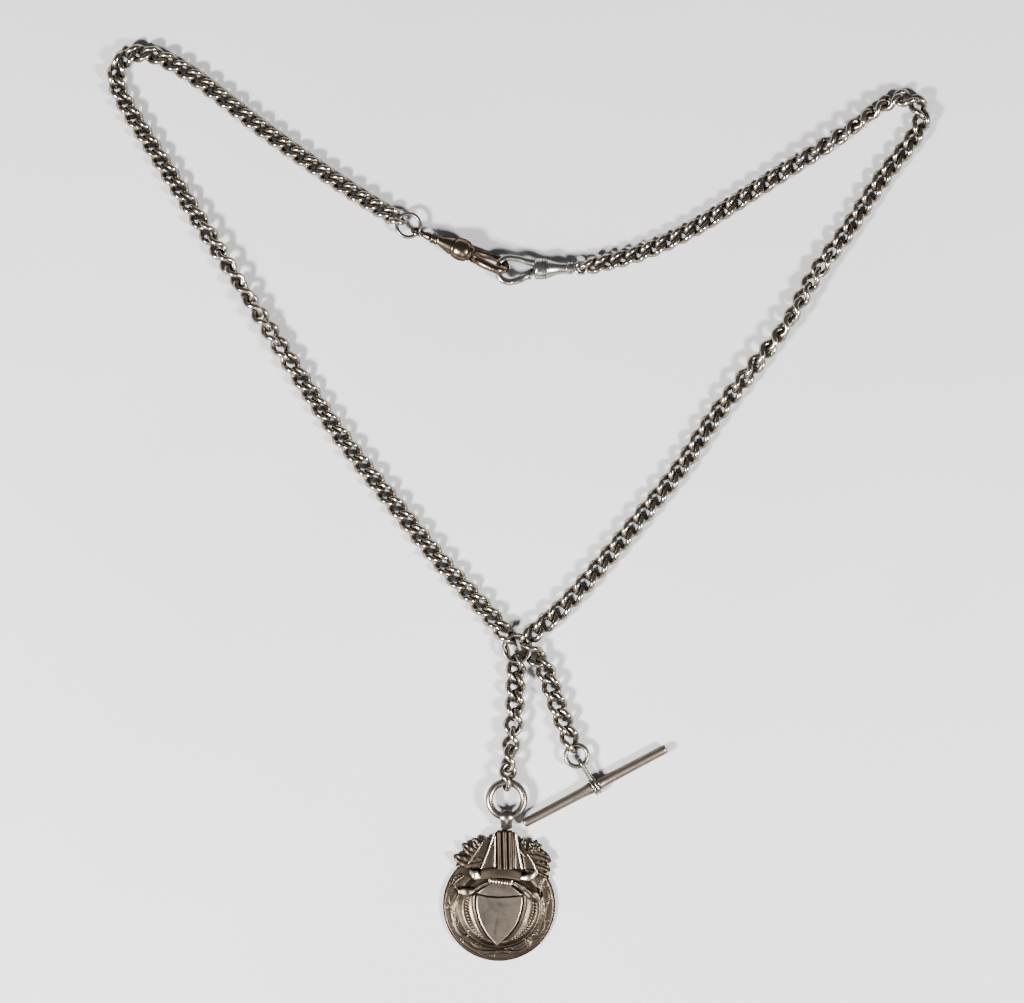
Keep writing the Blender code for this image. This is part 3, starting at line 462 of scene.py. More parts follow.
def walk(curve, weights, size):
    contacts, place = [curve[0]], 0
    for weight in weights:
        reach = size * weight
        while place < len(curve) and (curve[place] - contacts[-1]).length < reach:
            place += 1
        if place == len(curve):
            return None
        before, after = curve[place - 1], curve[place]
        inner = (before - contacts[-1]).length
        outer = (after - contacts[-1]).length
        contacts.append(before.lerp(after, (reach - inner) / (outer - inner)))
    return contacts


def contacts_along(curve, count, taper):
    """Where each link bears on the next, for count links that end at the curve's end."""
    weights = [1.0 - taper * index / count for index in range(count)]
    low, high = 1.0, 8.0
    for _ in range(40):
        size = (low + high) / 2.0
        if walk(curve, weights, size):
            low = size
        else:
            high = size
    contacts = walk(curve, weights, low)
    contacts[-1] = curve[-1].copy()
    return contacts


def arm_rolls(count, half_turns):
    rolls = [0.0] * count
    for middle, spread in half_turns:
        for index in range(count):
            rolls[index] += math.pi * min(max((index - middle) / spread + 0.5, 0.0), 1.0)
    for index, lean in enumerate(ARM_END_ROLLS):
        rolls[index] += math.radians(lean)
        rolls[-1 - index] -= math.radians(lean)
    return rolls


def link_path(near, far, width):
    """Centreline of a twisted oval link along X, and the directions to its middle."""
    turn = full_turn(LINK_POINTS)
    half, half_width = (far - near) / 2.0, (width - WIRE) / 2.0
    along = half * np.sign(np.cos(turn)) * np.abs(np.cos(turn)) ** OVALNESS
    across = half_width * np.sign(np.sin(turn)) * np.abs(np.sin(turn)) ** OVALNESS
    twist = LINK_TWIST * np.tanh(TWIST_HOLD * along / half) / math.tanh(TWIST_HOLD)
    path = np.stack([along, across * np.cos(twist), across * np.sin(twist)], 1)
    return path, -path, (near + far) / 2.0


def link_drop(roll, width):
    path, _, _ = link_path(-2.7, 2.7, width)
    return -(path[:, 1] * math.sin(roll) + path[:, 2] * math.cos(roll)).min() + WIRE / 2.0


def build_links(contacts, rolls, widths, start_reach, end_reach, names, bodies, replaced):
    """Every link of one chain as its own piece, riding on its body."""
    heights = [link_drop(roll, width) for roll, width in zip(rolls, widths)]
    for index in range(1, len(contacts) - 1):
        contacts[index].z = max(heights[index - 1], heights[index])
    inner = WIRE / 2.0 + SINK
    for index, roll in enumerate(rolls):
        start, end = contacts[index], contacts[index + 1]
        half = (end - start).length / 2.0
        near = -half - (start_reach if index == 0 else inner)
        far = half + (end_reach if index == len(rolls) - 1 else inner)
        path, toward, middle = link_path(near, far, widths[index])
        points, faces = wire(path, WIRE / 2.0, toward, True)
        points[:, 0] += middle
        shape = placed((points, faces), axis_frame((start + end) / 2.0, end - start, roll))
        add_piece(names[index], [shape], bodies[index], SILVER, replaced.get(index, ()))


def ring_contact(ring, angle):
    reach = ring.radius - (WIRE + ring.wire) / 4.0 - PLAY / 2.0
    angle = math.radians(angle)
    return Vector((ring.centre[0] + reach * math.cos(angle),
                   ring.centre[1] + reach * math.sin(angle), ring.height))


def level_knots(start, route, end):
    return [start.xy.to_3d()] + [Vector((x, y, 0.0)) for x, y in route] + [end.xy.to_3d()]


def build_chain(route, rolls, widths, taper, angle, ring, slack, names, bodies, replaced):
    """A chain that leaves the junction ring at an angle and ends on another ring."""
    start, end = ring_contact(JUNCTION, angle), ring_contact(ring, ring.exit)
    contacts = contacts_along(smooth_curve(level_knots(start, route, end), 40), len(rolls), taper)
    contacts[0].z, contacts[-1].z = start.z, end.z
    build_links(contacts, rolls, widths, (WIRE + JUNCTION.wire) / 4.0 + slack,
                (WIRE + ring.wire) / 4.0 + PLAY / 2.0, names, bodies, replaced)


def build_arm(side, route, stretches, half_turns, angle, ring):
    count = sum(stretches)
    widths = [LINK_WIDTH * (1.0 - WIDTH_TAPER * index / count) for index in range(count)]
    bodies, replaced = [], {}
    for number, links in enumerate(stretches):
        body = f"{side}_arm_stretch_{number + 1}"
        replaced[len(bodies)] = (body,)
        bodies += [body] * links
    names = [f"{side}_arm_curb_{index + 1:02d}" for index in range(count)]
    build_chain(route, arm_rolls(count, half_turns), widths, TAPER, angle, ring, PLAY / 2.0,
                names, bodies, replaced)


def build_drop(name, route, roll_degrees, angle, ring, slack=PLAY):
    numbers = range(1, len(roll_degrees) + 1)
    bodies = [f"{name}_link_{number}" for number in numbers]
    build_chain(route, [math.radians(roll) for roll in roll_degrees],
                [LINK_WIDTH] * len(numbers), 0.0, angle, ring, slack,
                [f"{name}_curb_{number}" for number in numbers], bodies,
                {index: (body,) for index, body in enumerate(bodies)})


def ring_piece(body, ring):
    """A round ring with the seam where its wire's ends meet."""
    path = circle(ring.centre, ring.radius, ring.height, RING_POINTS)
    radii = np.full(RING_POINTS, ring.wire / 2.0)
    radii[SEAM_POINT] *= SEAM_DEPTH
    toward = np.array((ring.centre[0], ring.centre[1], ring.height)) - path
    add_piece(body + "_wire", [wire(path, radii, toward, True, 20)], body, RING_SILVER, (body,))


def split_ring():
    """The junction ring: two turns of springy wire, sprung a little apart on the free side."""
    turns = np.linspace(*JUNCTION_TURNS, 220)
    share = (turns - turns[0]) / (turns[-1] - turns[0])
    ease = smoothed(share, 0.44, 0.56)
    dip = bell(turns - math.radians(FREE_SIDE + 360.0), 0.62)
    radius = JUNCTION.radius + 0.18 - 0.20 * ease - 0.84 * ease * dip
    height = JUNCTION.height + 0.38 - 0.76 * ease
    path = np.stack([radius * np.cos(turns), radius * np.sin(turns), height], 1)
    add_piece("junction_split_ring", [wire(path, COIL_RADIUS, UP, sides=16)],
              "junction_ring", RING_SILVER, ("junction_ring",))


def build_chains():
    split_ring()
    build_arm("left", LEFT_ROUTE, LEFT_STRETCHES, LEFT_HALF_TURNS, LEFT_EXIT, CLIP_RING)
    build_arm("right", RIGHT_ROUTE, RIGHT_STRETCHES, RIGHT_HALF_TURNS, RIGHT_EXIT, EYE_RING)
    build_drop("medal_drop", MEDAL_ROUTE, MEDAL_ROLLS, MEDAL_EXIT, FOB_RING)
    build_drop("bar_drop", BAR_ROUTE, BAR_ROLLS, BAR_EXIT, BAR_RING, TOGGLE_DROP_SLACK)
    for body, ring in (("clip_jump_ring", CLIP_RING), ("fob_ring", FOB_RING),
                       ("bar_jump_ring", BAR_RING)):
        ring_piece(body, ring)


# ---------------------------------------------------------------- spring clips

def flat_wire(knots, count=40, sides=22, squash=1.0):
    """A tapering round wire in the XY plane from (x, y, radius) knots."""
    curve = resampled(knots, count)
    points = np.column_stack([curve[:, 0], curve[:, 1], np.zeros(count)])
    return wire(points, curve[:, 2], UP, sides=sides, squash=squash)


def shifted(knots, along):
    return [(knot[0] + along,) + tuple(knot[1:]) for knot in knots]


def upright_turned(profile, centre, sides=32):
    """A turned shape stood up along Z at a point of the XY plane."""
    points, faces = turned(profile, sides, 2)
    return np.stack([centre[0] + points[:, 1], centre[1] + points[:, 2], points[:, 0]], 1), faces


def build_clip(side, placing, neck, barrel, collar, material):
    start = HOOK_START[side]
    pivot = (start + GATE_PIVOT[0], GATE_PIVOT[1])
    prefix = side + "_clip_"

    def add(name, shapes, rides, finish, hides):
        add_piece(prefix + name, [placed(shape, placing) for shape in shapes], prefix + rides,
                  finish, (prefix + hides,))

    ring = circle((0.0, 0.0), EYE_RING.radius, 0.0, 56)
    add("eye", [wire(ring, EYE_RING.wire / 2.0, -ring, True, 18), turned(neck)], "swivel_eye",
        material, "swivel_eye")
    add("sleeve", [turned(barrel)], "body", material, "barrel")
    lugs = [upright_turned(((low, 0.1), (low, 0.82), (low + 0.15, 1.02), (high - 0.15, 1.02),
                            (high, 0.82), (high, 0.1)), pivot)
            for low, high in LUG_SPANS]
    add("hook_and_collar", [turned(collar), flat_wire(shifted(HOOK_ARM[side], start), 84)] + lugs,
        "body", material, "hook")
    add("trigger", [flat_wire(shifted(GATE_ARM[side], start), 34), upright_turned(KNUCKLE, pivot)],
        "gate", material, "gate")
    add("rivet", [upright_turned(RIVET, pivot)], "body", STEEL, "gate_pin")
    spring = flat_wire(shifted(SPRING_ARM, start), 16, 12, 2.2)
    add("leaf_spring", [spring], "body", STEEL, "gate_spring")


def build_clips():
    build_clip("right", axis_frame(RIGHT_EYE, RIGHT_AXIS), RIGHT_NECK, RIGHT_BARREL,
               RIGHT_COLLAR, BRIGHT_SILVER)
    build_clip("left", axis_frame(LEFT_EYE, LEFT_AXIS, LEFT_ROLL), LEFT_NECK, LEFT_BARREL,
               LEFT_COLLAR, DARK_SILVER)


# ---------------------------------------------------------------- toggle bar

def build_toggle_bar():
    along = Vector((math.cos(BAR_ANGLE), math.sin(BAR_ANGLE), 0.0))
    profile = [(-x, radius) for x, radius in BAR_HALF[::-1]] + list(BAR_HALF[1:])
    bar = placed(turned(profile, 48, 2), axis_frame(BAR_CENTRE, along))
    add_piece("toggle_bar_rod", [bar], "toggle_bar", TOGGLE_SILVER, ("toggle_bar",))
    build_toggle_loop(along)


def build_toggle_loop(along):
    """A narrow stem hung on the bar's ring, and two coils side by side in the bar's waist."""
    ring_centre = Vector(BAR_RING.centre).to_3d()
    toward_bar = (Vector(BAR_CENTRE[:2]).to_3d() - ring_centre).normalized()
    inside = ring_centre + toward_bar * (BAR_RING.radius - LOOP_SETBACK)
    inside.z = BAR_RING.height
    direction = Vector(BAR_CENTRE) - inside
    distance = direction.length
    outline = teardrop(1.15, 0.98, distance - STEM_END, 0.75, 26)
    path = np.column_stack([outline, np.zeros(len(outline))])
    toward = np.array((distance / 2.0, 0.0, 0.0)) - path
    placing = axis_frame(inside, direction, math.pi / 2.0)
    shapes = [placed(wire(path, STEM_RADIUS, toward, True, 16), placing)]
    turns = np.linspace(0.0, 2.0 * math.pi, COIL_POINTS, endpoint=False)
    for offset in (-COIL_OFFSET, COIL_OFFSET):
        coil = np.column_stack([np.full(COIL_POINTS, offset), COIL_REACH * np.cos(turns),
                                COIL_RISE * np.sin(turns)])
        toward = np.array((offset, 0.0, 0.0)) - coil
        shapes.append(placed(wire(coil, COIL_WIRE, toward, True, 16),
                             axis_frame(BAR_CENTRE, along)))
    add_piece("toggle_bar_double_loop", shapes, "toggle_bar_loop", RING_SILVER,
              ("toggle_bar_loop",))


def teardrop(back, near_radius, front, far_radius, corners):
    """Closed outline points round two discs on X, centred at back and at front."""
    lean = math.asin((far_radius - near_radius) / (front - back))
    arcs = []
    for centre, radius, start, turn in (
            (front, far_radius, -math.pi / 2.0 - lean, math.pi + 2.0 * lean),
            (back, near_radius, math.pi / 2.0 + lean, math.pi - 2.0 * lean)):
        angles = start + turn * np.linspace(0.0, 1.0, corners)
        arcs.append(np.column_stack([centre + radius * np.cos(angles), radius * np.sin(angles)]))
    outline = np.vstack(arcs)
    closed = np.vstack([outline, outline[:1]])
    places = np.concatenate([[0.0], np.cumsum(np.linalg.norm(np.diff(closed, axis=0), axis=1))])
    wanted = np.linspace(0.0, places[-1], 4 * corners, endpoint=False)
    return np.column_stack([np.interp(wanted, places, closed[:, axis]) for axis in range(2)])


# ---------------------------------------------------------------- fob medal

def distance_to(x, y, line, closed=False):
    """Distance from each point to a polyline, and the distance along it to there."""
    line = np.asarray(line, float)
    if closed:
        line = np.vstack([line, line[:1]])
    best = np.full(x.shape, 1e9)
    place = np.zeros(x.shape)
    start = 0.0
    for (ax, ay), (bx, by) in zip(line, line[1:]):
        length = math.hypot(bx - ax, by - ay)
        t = np.clip(((x - ax) * (bx - ax) + (y - ay) * (by - ay)) / max(length ** 2, 1e-9), 0, 1)
        gap = np.hypot(x - ax - t * (bx - ax), y - ay - t * (by - ay))
        nearer = gap < best
        best = np.where(nearer, gap, best)
        place = np.where(nearer, start + t * length, place)
        start += length
    return best, place


def bell(gap, width, power=2):
    return np.exp(-(gap / width) ** power)


def smoothed(value, low, high):
    t = np.clip((value - low) / (high - low), 0.0, 1.0)
    return t * t * (3.0 - 2.0 * t)


def inside_of(x, y, line):
    """Whether each point is inside a closed outline."""
    line = np.asarray(line, float)
    found = np.zeros(x.shape, bool)
    for (ax, ay), (bx, by) in zip(line, np.roll(line, -1, 0)):
        crosses = (ay > y) != (by > y)
        slope = (bx - ax) / ((by - ay) if by != ay else 1e-9)
        found ^= crosses & (x < ax + (y - ay) * slope)
    return found


SCROLL_EYE = 0.12           # how small a scroll gets, as a share of its start
SCROLL_RADIUS = 11.7        # of the circle that the border's scrolls stand on
FACE_HEIGHT, DOME_RISE, GROOVE_DEPTH = 1.22, 0.62, 0.065
RIM_RADIUS, BEAD_PITCH = 12.95, 0.72


def spiral(centre, radius, start, turns):
    """A scroll that curls in to its eye."""
    share = np.linspace(0.0, 1.0, 26)
    angle = math.radians(start) + turns * 2.0 * math.pi * share
    reach = radius * (1.0 - (1.0 - SCROLL_EYE) * share)
    return np.column_stack([centre[0] + reach * np.cos(angle), centre[1] + reach * np.sin(angle)])


SHIELD_TOP = ((-5.3, 2.7), (-3.0, 2.15), (-0.4, 1.95), (2.6, 2.05), (5.6, 2.35))
SHIELD_RIGHT = ((5.6, 2.35), (5.65, 0.6), (5.3, -1.5), (4.2, -4.5), (2.1, -7.3), (-0.5, -9.7))
SHIELD_LEFT = ((-0.5, -9.7), (-2.9, -7.0), (-4.6, -3.8), (-5.45, -0.5), (-5.55, 1.4), (-5.3, 2.7))
BEAD_ARCS = (
    ((-7.3, 1.9), (-7.6, 0.0), (-7.4, -2.0), (-6.7, -4.0), (-5.6, -6.0), (-4.1, -7.9)),
    ((8.5, 0.6), (8.5, -1.2), (8.0, -3.2), (6.9, -5.0), (5.2, -6.9), (3.0, -8.5)))


def shield_outline(steps=22):
    parts = [resampled(line, steps)[:-1] for line in (SHIELD_TOP, SHIELD_RIGHT, SHIELD_LEFT)]
    return np.vstack(parts)


RIDGES = (
    ((-9.3, 3.0), (-10.7, 0.6), (-11.0, -2.4), (-10.2, -5.4), (-8.7, -7.3), (-7.6, -7.2),
     (-7.4, -6.4)),
    ((9.5, 2.6), (10.2, -0.6), (9.5, -4.2), (7.6, -7.2), (4.8, -9.3), (1.6, -10.3)),
    ((-8.4, -8.8), (-5.4, -10.8), (-2.0, -11.1), (1.4, -10.9), (4.6, -11.1), (6.9, -9.9),
     (7.4, -8.5), (6.4, -8.1)),
    ((-11.9, 5.6), (-10.4, 4.6), (-9.3, 3.0)),
    ((10.6, 6.4), (9.9, 4.4), (9.5, 2.6)))


def scroll_lines():
    """Engraved border: a flowing stem, with a curl and two leaf strokes at every bend."""
    lines = []
    turns = np.linspace(30.0, -212.0, 70)
    reach = 11.75 + 0.55 * np.sin(np.radians(turns * 9.0))
    rounds = np.radians(turns)
    lines.append(np.column_stack([reach * np.cos(rounds), reach * np.sin(rounds)]))
    for index, turn in enumerate(np.arange(22.0, -210.0, -20.0)):
        spin = 1.0 if index % 2 else -1.0
        middle = np.array((math.cos(math.radians(turn)), math.sin(math.radians(turn))))
        sideways = np.array((-middle[1], middle[0]))
        centre = middle * (SCROLL_RADIUS - 0.55 * spin)
        lines.append(spiral(centre, 0.85, turn + 90.0 * spin, 1.1 * spin))
        for lean in (0.55, 1.15):
            root = middle * SCROLL_RADIUS + sideways * lean
            tip = middle * (SCROLL_RADIUS + 1.15 * spin) + sideways * (lean + 1.0)
            bend = (root + tip) / 2.0 + middle * 0.25 * spin
            lines.append(np.array((root, bend, tip)))
    return lines


def medal_height(x, y):
    """Height of the medal's face over its back, at points round its centre."""
    radius = np.hypot(x, y)
    height = FACE_HEIGHT + 0.18 * np.sin(np.clip((13.3 - radius) / 3.4, 0.0, 1.0) * math.pi)
    height -= 0.5 * smoothed(radius, RIM_RADIUS, MEDAL_RADIUS) ** 2
    height += 0.10 * bell(radius - RIM_RADIUS, 0.16)
    outline = shield_outline()
    gap, _ = distance_to(x, y, outline, True)
    gap = np.where(inside_of(x, y, outline), 0.0, gap)
    dome_gap, _ = distance_to(x, y, DOME_EDGE, True)
    signed = np.where(inside_of(x, y, DOME_EDGE), dome_gap, -dome_gap)
    height += DOME_RISE * smoothed(signed, -0.25, 1.1)
    height -= 0.16 * bell(signed + 0.35, 0.22)
    lower = smoothed(3.2 - y, 0.0, 1.0)
    side = lower * smoothed(9.6 - np.abs(y + 0.2), 0.0, 1.5)
    height += side * (0.42 * bell(gap - 0.95, 0.80)
                      - 0.18 * bell(gap, 0.16))
    for arc in BEAD_ARCS:
        bead_gap, place = distance_to(x, y, resampled(arc, 24))
        beads = 0.5 + 0.5 * np.sin(place * 2.0 * math.pi / BEAD_PITCH + bead_gap * 4.0)
        height += 0.24 * (beads - 0.35) * bell(bead_gap, 0.36, 4)
    border = smoothed(-signed, 0.15, 0.5) * smoothed(12.9 - radius, 0.0, 0.25)
    groove = np.zeros(x.shape)
    for line in scroll_lines():
        line_gap, _ = distance_to(x, y, line)
        groove = np.maximum(groove, bell(line_gap, 0.13)
                            - 0.45 * bell(line_gap - 0.26, 0.13))
    height -= border * GROOVE_DEPTH * groove
    for line in RIDGES:
        line_gap, _ = distance_to(x, y, resampled(line, 30))
        height += 0.11 * bell(line_gap, 0.22) - 0.05 * bell(line_gap - 0.48, 0.16)
    return height


DOME_EDGE = [(9.7 * math.cos(math.radians(angle)) + 0.1, 9.2 * math.sin(math.radians(angle)) - 0.6)
             for angle in range(0, 360, 8)]


def medal_piece(name, shapes, material, replaces=(), smooth_angle=38.0):
    """A piece of the medal, from shapes with the medal's centre as their XY origin."""
    centre = np.array((*MEDAL_CENTRE, 0.0))
    add_piece(name, [(np.asarray(points, float) + centre, faces) for points, faces in shapes],
              "fob_medal", material, replaces, smooth_angle)


def build_medal_disc():
    """The struck face of the medal, down to its edge, as one closed relief."""
    around, rings = 520, 165
    angles = full_turn(around)
    radii = MEDAL_RADIUS * np.linspace(0.004, 1.0, rings)
    x = radii[:, None] * np.cos(angles)[None, :]
    y = radii[:, None] * np.sin(angles)[None, :]
    z = medal_height(x, y)
    face = np.stack([x, y, z], 2)
    edge_z = z[-1]
    lower = []
    for share, inset in ((0.35, -0.02), (0.7, 0.0), (1.0, 0.14)):
        level = edge_z + (0.42 - edge_z) * share
        reach = (MEDAL_RADIUS - inset) / MEDAL_RADIUS
        lower.append(np.stack([x[-1] * reach, y[-1] * reach, level], 1))
    for reach in (0.97, 0.5, 0.004):
        lower.append(np.stack([x[-1] * reach, y[-1] * reach, np.full(around, 0.40)], 1))
    shape = loft(np.vstack([face, np.array(lower)]))
    medal_piece("medal_struck_face", [shape], MEDAL_SILVER, ("medal_rim", "medal_dome"), 60.0)
    back = upright_turned(((0.0, 0.05), (0.0, 12.0), (0.06, 12.6), (0.2, 12.85), (0.39, 12.9),
                           (0.39, 0.05)), (0.0, 0.0), 160)
    medal_piece("medal_back_disc", [back], MEDAL_SILVER, ("medal_back_plate",))


def crowned_plate(outline, levels, middle):
    """A closed plate whose outline is drawn in by each level's share: (share, height) pairs."""
    outline = np.asarray(outline, float)
    middle = np.asarray(middle, float)
    rings = [np.column_stack([middle + (outline - middle) * share,
                              np.full(len(outline), height)]) for share, height in levels]
    return loft(rings)


def build_shield():
    levels = ((0.985, 1.7), (1.0, 2.2), (0.995, 2.42), (0.97, 2.55), (0.93, 2.60), (0.90, 2.58),
              (0.5, 2.64), (0.02, 2.66))
    plate = crowned_plate(shield_outline(30), levels, (-0.1, -1.6))
    medal_piece("medal_shield_plate", [plate], SHIELD_SILVER, ("medal_shield",))


def band(upper, lower, bottom, heights, steps=40, across=9):
    """A closed curved band between an upper and a lower edge; heights gives its crown."""
    top_edge, low_edge = resampled(upper, steps), resampled(lower, steps)
    crown = resampled(list(enumerate(heights)), steps)[:, 1]
    rings = []
    for first, second, height in zip(top_edge, low_edge, crown):
        ring = []
        for share in np.linspace(0.0, 1.0, across):
            point = first + (second - first) * share
            ring.append((point[0], point[1], height - 0.22 * (2.0 * share - 1.0) ** 4))
        ring.append((second[0], second[1], bottom))
        ring.append((first[0], first[1], bottom))
        rings.append(ring)
    return loft(rings)


def lying_wire(line, radius, height, lift=0.0, count=30, sides=16):
    """A wire along a line on the medal, which rises by lift from its start to its end."""
    heights = np.full(count, height) + lift * np.linspace(0.0, 1.0, count)
    return wire(np.column_stack([resampled(line, count), heights]), radius, UP, sides=sides)


# Upper edge, lower edge and heights: the middle, the two tails and the two curls.
BANNER_BOTTOM = 1.6
BANNER = (
    (((-4.4, 8.7), (-2.0, 9.1), (0.6, 9.25), (3.2, 8.9), (5.4, 8.1)),
     ((-4.3, 6.3), (-2.0, 6.55), (0.5, 6.65), (3.0, 6.4), (5.0, 5.9)), (2.75, 3.0, 3.1, 3.0, 2.7)),
    (((-2.3, 6.0), (-4.2, 5.3), (-6.2, 4.2), (-8.2, 4.3), (-9.9, 3.9)),
     ((-2.4, 5.0), (-4.5, 4.0), (-6.7, 2.5), (-8.2, 2.2), (-9.6, 2.7)), (2.6, 2.8, 2.5, 2.95, 2.3)),
    (((3.3, 5.9), (5.3, 5.2), (7.2, 4.2), (9.3, 3.0), (9.9, 1.9)),
     ((3.2, 5.0), (4.8, 3.9), (6.3, 2.6), (7.8, 1.4), (8.9, 0.9)), (2.6, 2.85, 2.5, 2.9, 2.3)),
    (((-7.1, 8.7), (-6.2, 8.3), (-5.2, 8.3), (-4.5, 7.6)),
     ((-7.0, 7.3), (-6.2, 6.5), (-5.2, 6.1), (-4.4, 6.2)), (2.4, 3.15, 3.0, 2.5)),
    (((5.3, 7.2), (6.6, 7.4), (8.0, 8.0), (9.1, 9.1)),
     ((5.2, 6.1), (6.6, 5.9), (8.0, 6.3), (9.4, 7.6)), (2.5, 3.1, 3.0, 2.3)))


def build_banner():
    """The ribbon over the shield: a middle band and two tails that fold back."""
    bands = [band(upper, lower, BANNER_BOTTOM, heights) for upper, lower, heights in BANNER]
    medal_piece("medal_ribbon_band", bands[:3], MEDAL_SILVER, ("medal_ribbon_banner",))
    medal_piece("medal_ribbon_curls", bands[3:], BEVEL_SILVER)
    folds = [lying_wire(line, 0.13, 2.76, 0.0, 20, 8)
             for line in (((3.9, 5.5), (5.6, 4.5), (7.4, 3.2), (8.6, 2.0)),
                          ((-2.8, 5.5), (-4.6, 4.7), (-6.4, 3.5), (-7.6, 3.2)))]
    medal_piece("medal_ribbon_folds", folds, BEVEL_SILVER)


def build_beads():
    """The beaded bar above the shield and the bevelled slope under it."""
    shapes = []
    for index in range(8):
        x = -2.05 + 0.68 * index
        y = 5.95 - 0.09 * index
        path = resampled(((y - 0.72, 0.0, 2.5), (y - 0.30, 0.0, 2.95), (y + 0.25, 0.0, 3.0),
                          (y + 0.62, 0.0, 2.6)), 12)
        path = np.column_stack([np.full(12, x), path[:, 0], path[:, 2]])
        shapes.append(wire(path, 0.29, (1.0, 0.0, 0.0), sides=12))
    bar = crowned_plate(((-2.5, 6.4), (-2.6, 5.6), (0.4, 5.15), (3.2, 4.95), (3.3, 5.9),
                         (0.4, 6.4)), ((1.0, 1.8), (1.0, 2.5), (0.9, 2.7), (0.1, 2.72)),
                        (0.4, 5.7))
    shapes.append(bar)
    medal_piece("medal_bead_row", shapes, BEVEL_SILVER, ("medal_bead_bar",))
    slope = crowned_plate(((-2.4, 5.3), (-5.5, 3.1), (-5.2, 2.75), (-2.6, 2.25), (-0.2, 2.08),
                           (2.6, 2.15), (5.4, 2.45), (5.6, 2.75), (3.1, 4.9), (0.4, 5.2)),
                          ((1.0, 1.8), (1.0, 2.3), (0.90, 2.62), (0.78, 2.66), (0.05, 2.68)),
                          (0.1, 3.6))
    medal_piece("medal_shield_brow", [slope], SHIELD_SILVER)


def leaf(root, tip, width, bend, crown, lobes=3, depth=0.15, steps=52, across=21):
    """One broad lobed leaf from root to tip, ridged along its middle and its veins."""
    root, tip = np.asarray(root, float), np.asarray(tip, float)
    along = tip - root
    normal = np.array((-along[1], along[0])) / np.linalg.norm(along)
    rings = []
    for share in np.linspace(0.0, 1.0, steps):
        centre = root + along * share + normal * bend * math.sin(math.pi * share)
        body = math.sin(math.pi * min(share * 0.84 + 0.16, 1.0)) ** 0.5
        wave = 1.0 - depth * (1.0 - abs(math.sin(lobes * math.pi * share)) ** 0.7)
        half = max(width / 2.0 * body * wave, 0.05)
        ring = []
        for side in np.linspace(-1.0, 1.0, across):
            vein = 0.5 + 0.5 * math.cos(2.0 * math.pi * (1.5 * lobes * share - 1.1 * abs(side)))
            height = crown * (1.0 - 0.16 * side ** 4) - 0.13 * math.exp(-(side / 0.12) ** 2)
            height += 0.10 * vein * min(abs(side) * 2.5, 1.0) * (1.0 - abs(side) ** 5)
            height -= 0.30 * share ** 4
            point = centre + normal * half * side
            ring.append((point[0], point[1], height))
        for side in (1.0, -1.0):
            point = centre + normal * half * side * 0.94
            ring.append((point[0], point[1], LEAF_BOTTOM))
        rings.append(ring)
    return loft(rings)


LEAF_BOTTOM = 1.30
LEFT_LEAVES = (
    ((-2.0, 13.2), (-3.4, 16.4), 2.6, 0.1, 1.95),
    ((-2.8, 12.4), (-6.3, 16.1), 2.9, 0.3, 2.10),
    ((-5.5, 9.4), (-10.4, 9.6), 2.4, -0.5, 1.85),
    ((-3.6, 11.6), (-8.9, 14.8), 3.1, 0.4, 2.22),
    ((-4.0, 10.8), (-11.0, 11.9), 3.6, 0.9, 2.36),
    ((-8.6, 7.2), (-11.3, 4.6), 1.8, -0.4, 1.85))
RIGHT_LEAVES = (
    ((4.6, 12.4), (6.1, 16.2), 2.3, -0.2, 1.95),
    ((6.4, 8.8), (12.0, 6.6), 2.4, 0.5, 1.85),
    ((6.8, 10.2), (12.3, 8.3), 2.9, 0.5, 2.10),
    ((6.0, 12.4), (12.5, 10.5), 3.3, 0.8, 2.26))
ROSETTE_CENTRE, ROSETTE_RADIUS, PETALS = (8.5, 13.9), 1.85, 6


def rosette():
    """A small flower: petals round a bead."""
    petals = []
    for turn in np.arange(PETALS) * 2.0 * math.pi / PETALS + 0.3:
        tip = (ROSETTE_CENTRE[0] + ROSETTE_RADIUS * math.cos(turn),
               ROSETTE_CENTRE[1] + ROSETTE_RADIUS * math.sin(turn))
        petals.append(leaf(ROSETTE_CENTRE, tip, 1.5, 0.0, 2.30, 1, 0.1, 20, 11))
    petals.append(upright_turned(((1.5, 0.05), (1.5, 0.55), (2.4, 0.55), (2.62, 0.38),
                                  (2.70, 0.12)), ROSETTE_CENTRE, 20))
    return petals


def build_leaves():
    for side, leaves in (("left", LEFT_LEAVES), ("right", RIGHT_LEAVES)):
        shapes = [leaf(*outline) for outline in leaves]
        if side == "right":
            shapes += rosette()
        medal_piece("medal_{}_foliage".format(side), shapes, MEDAL_SILVER,
                    ("medal_{}_leaf_spray".format(side),), 50.0)


COLUMNS = ((0.05, 0.58), (1.42, 0.66), (2.72, 0.52))


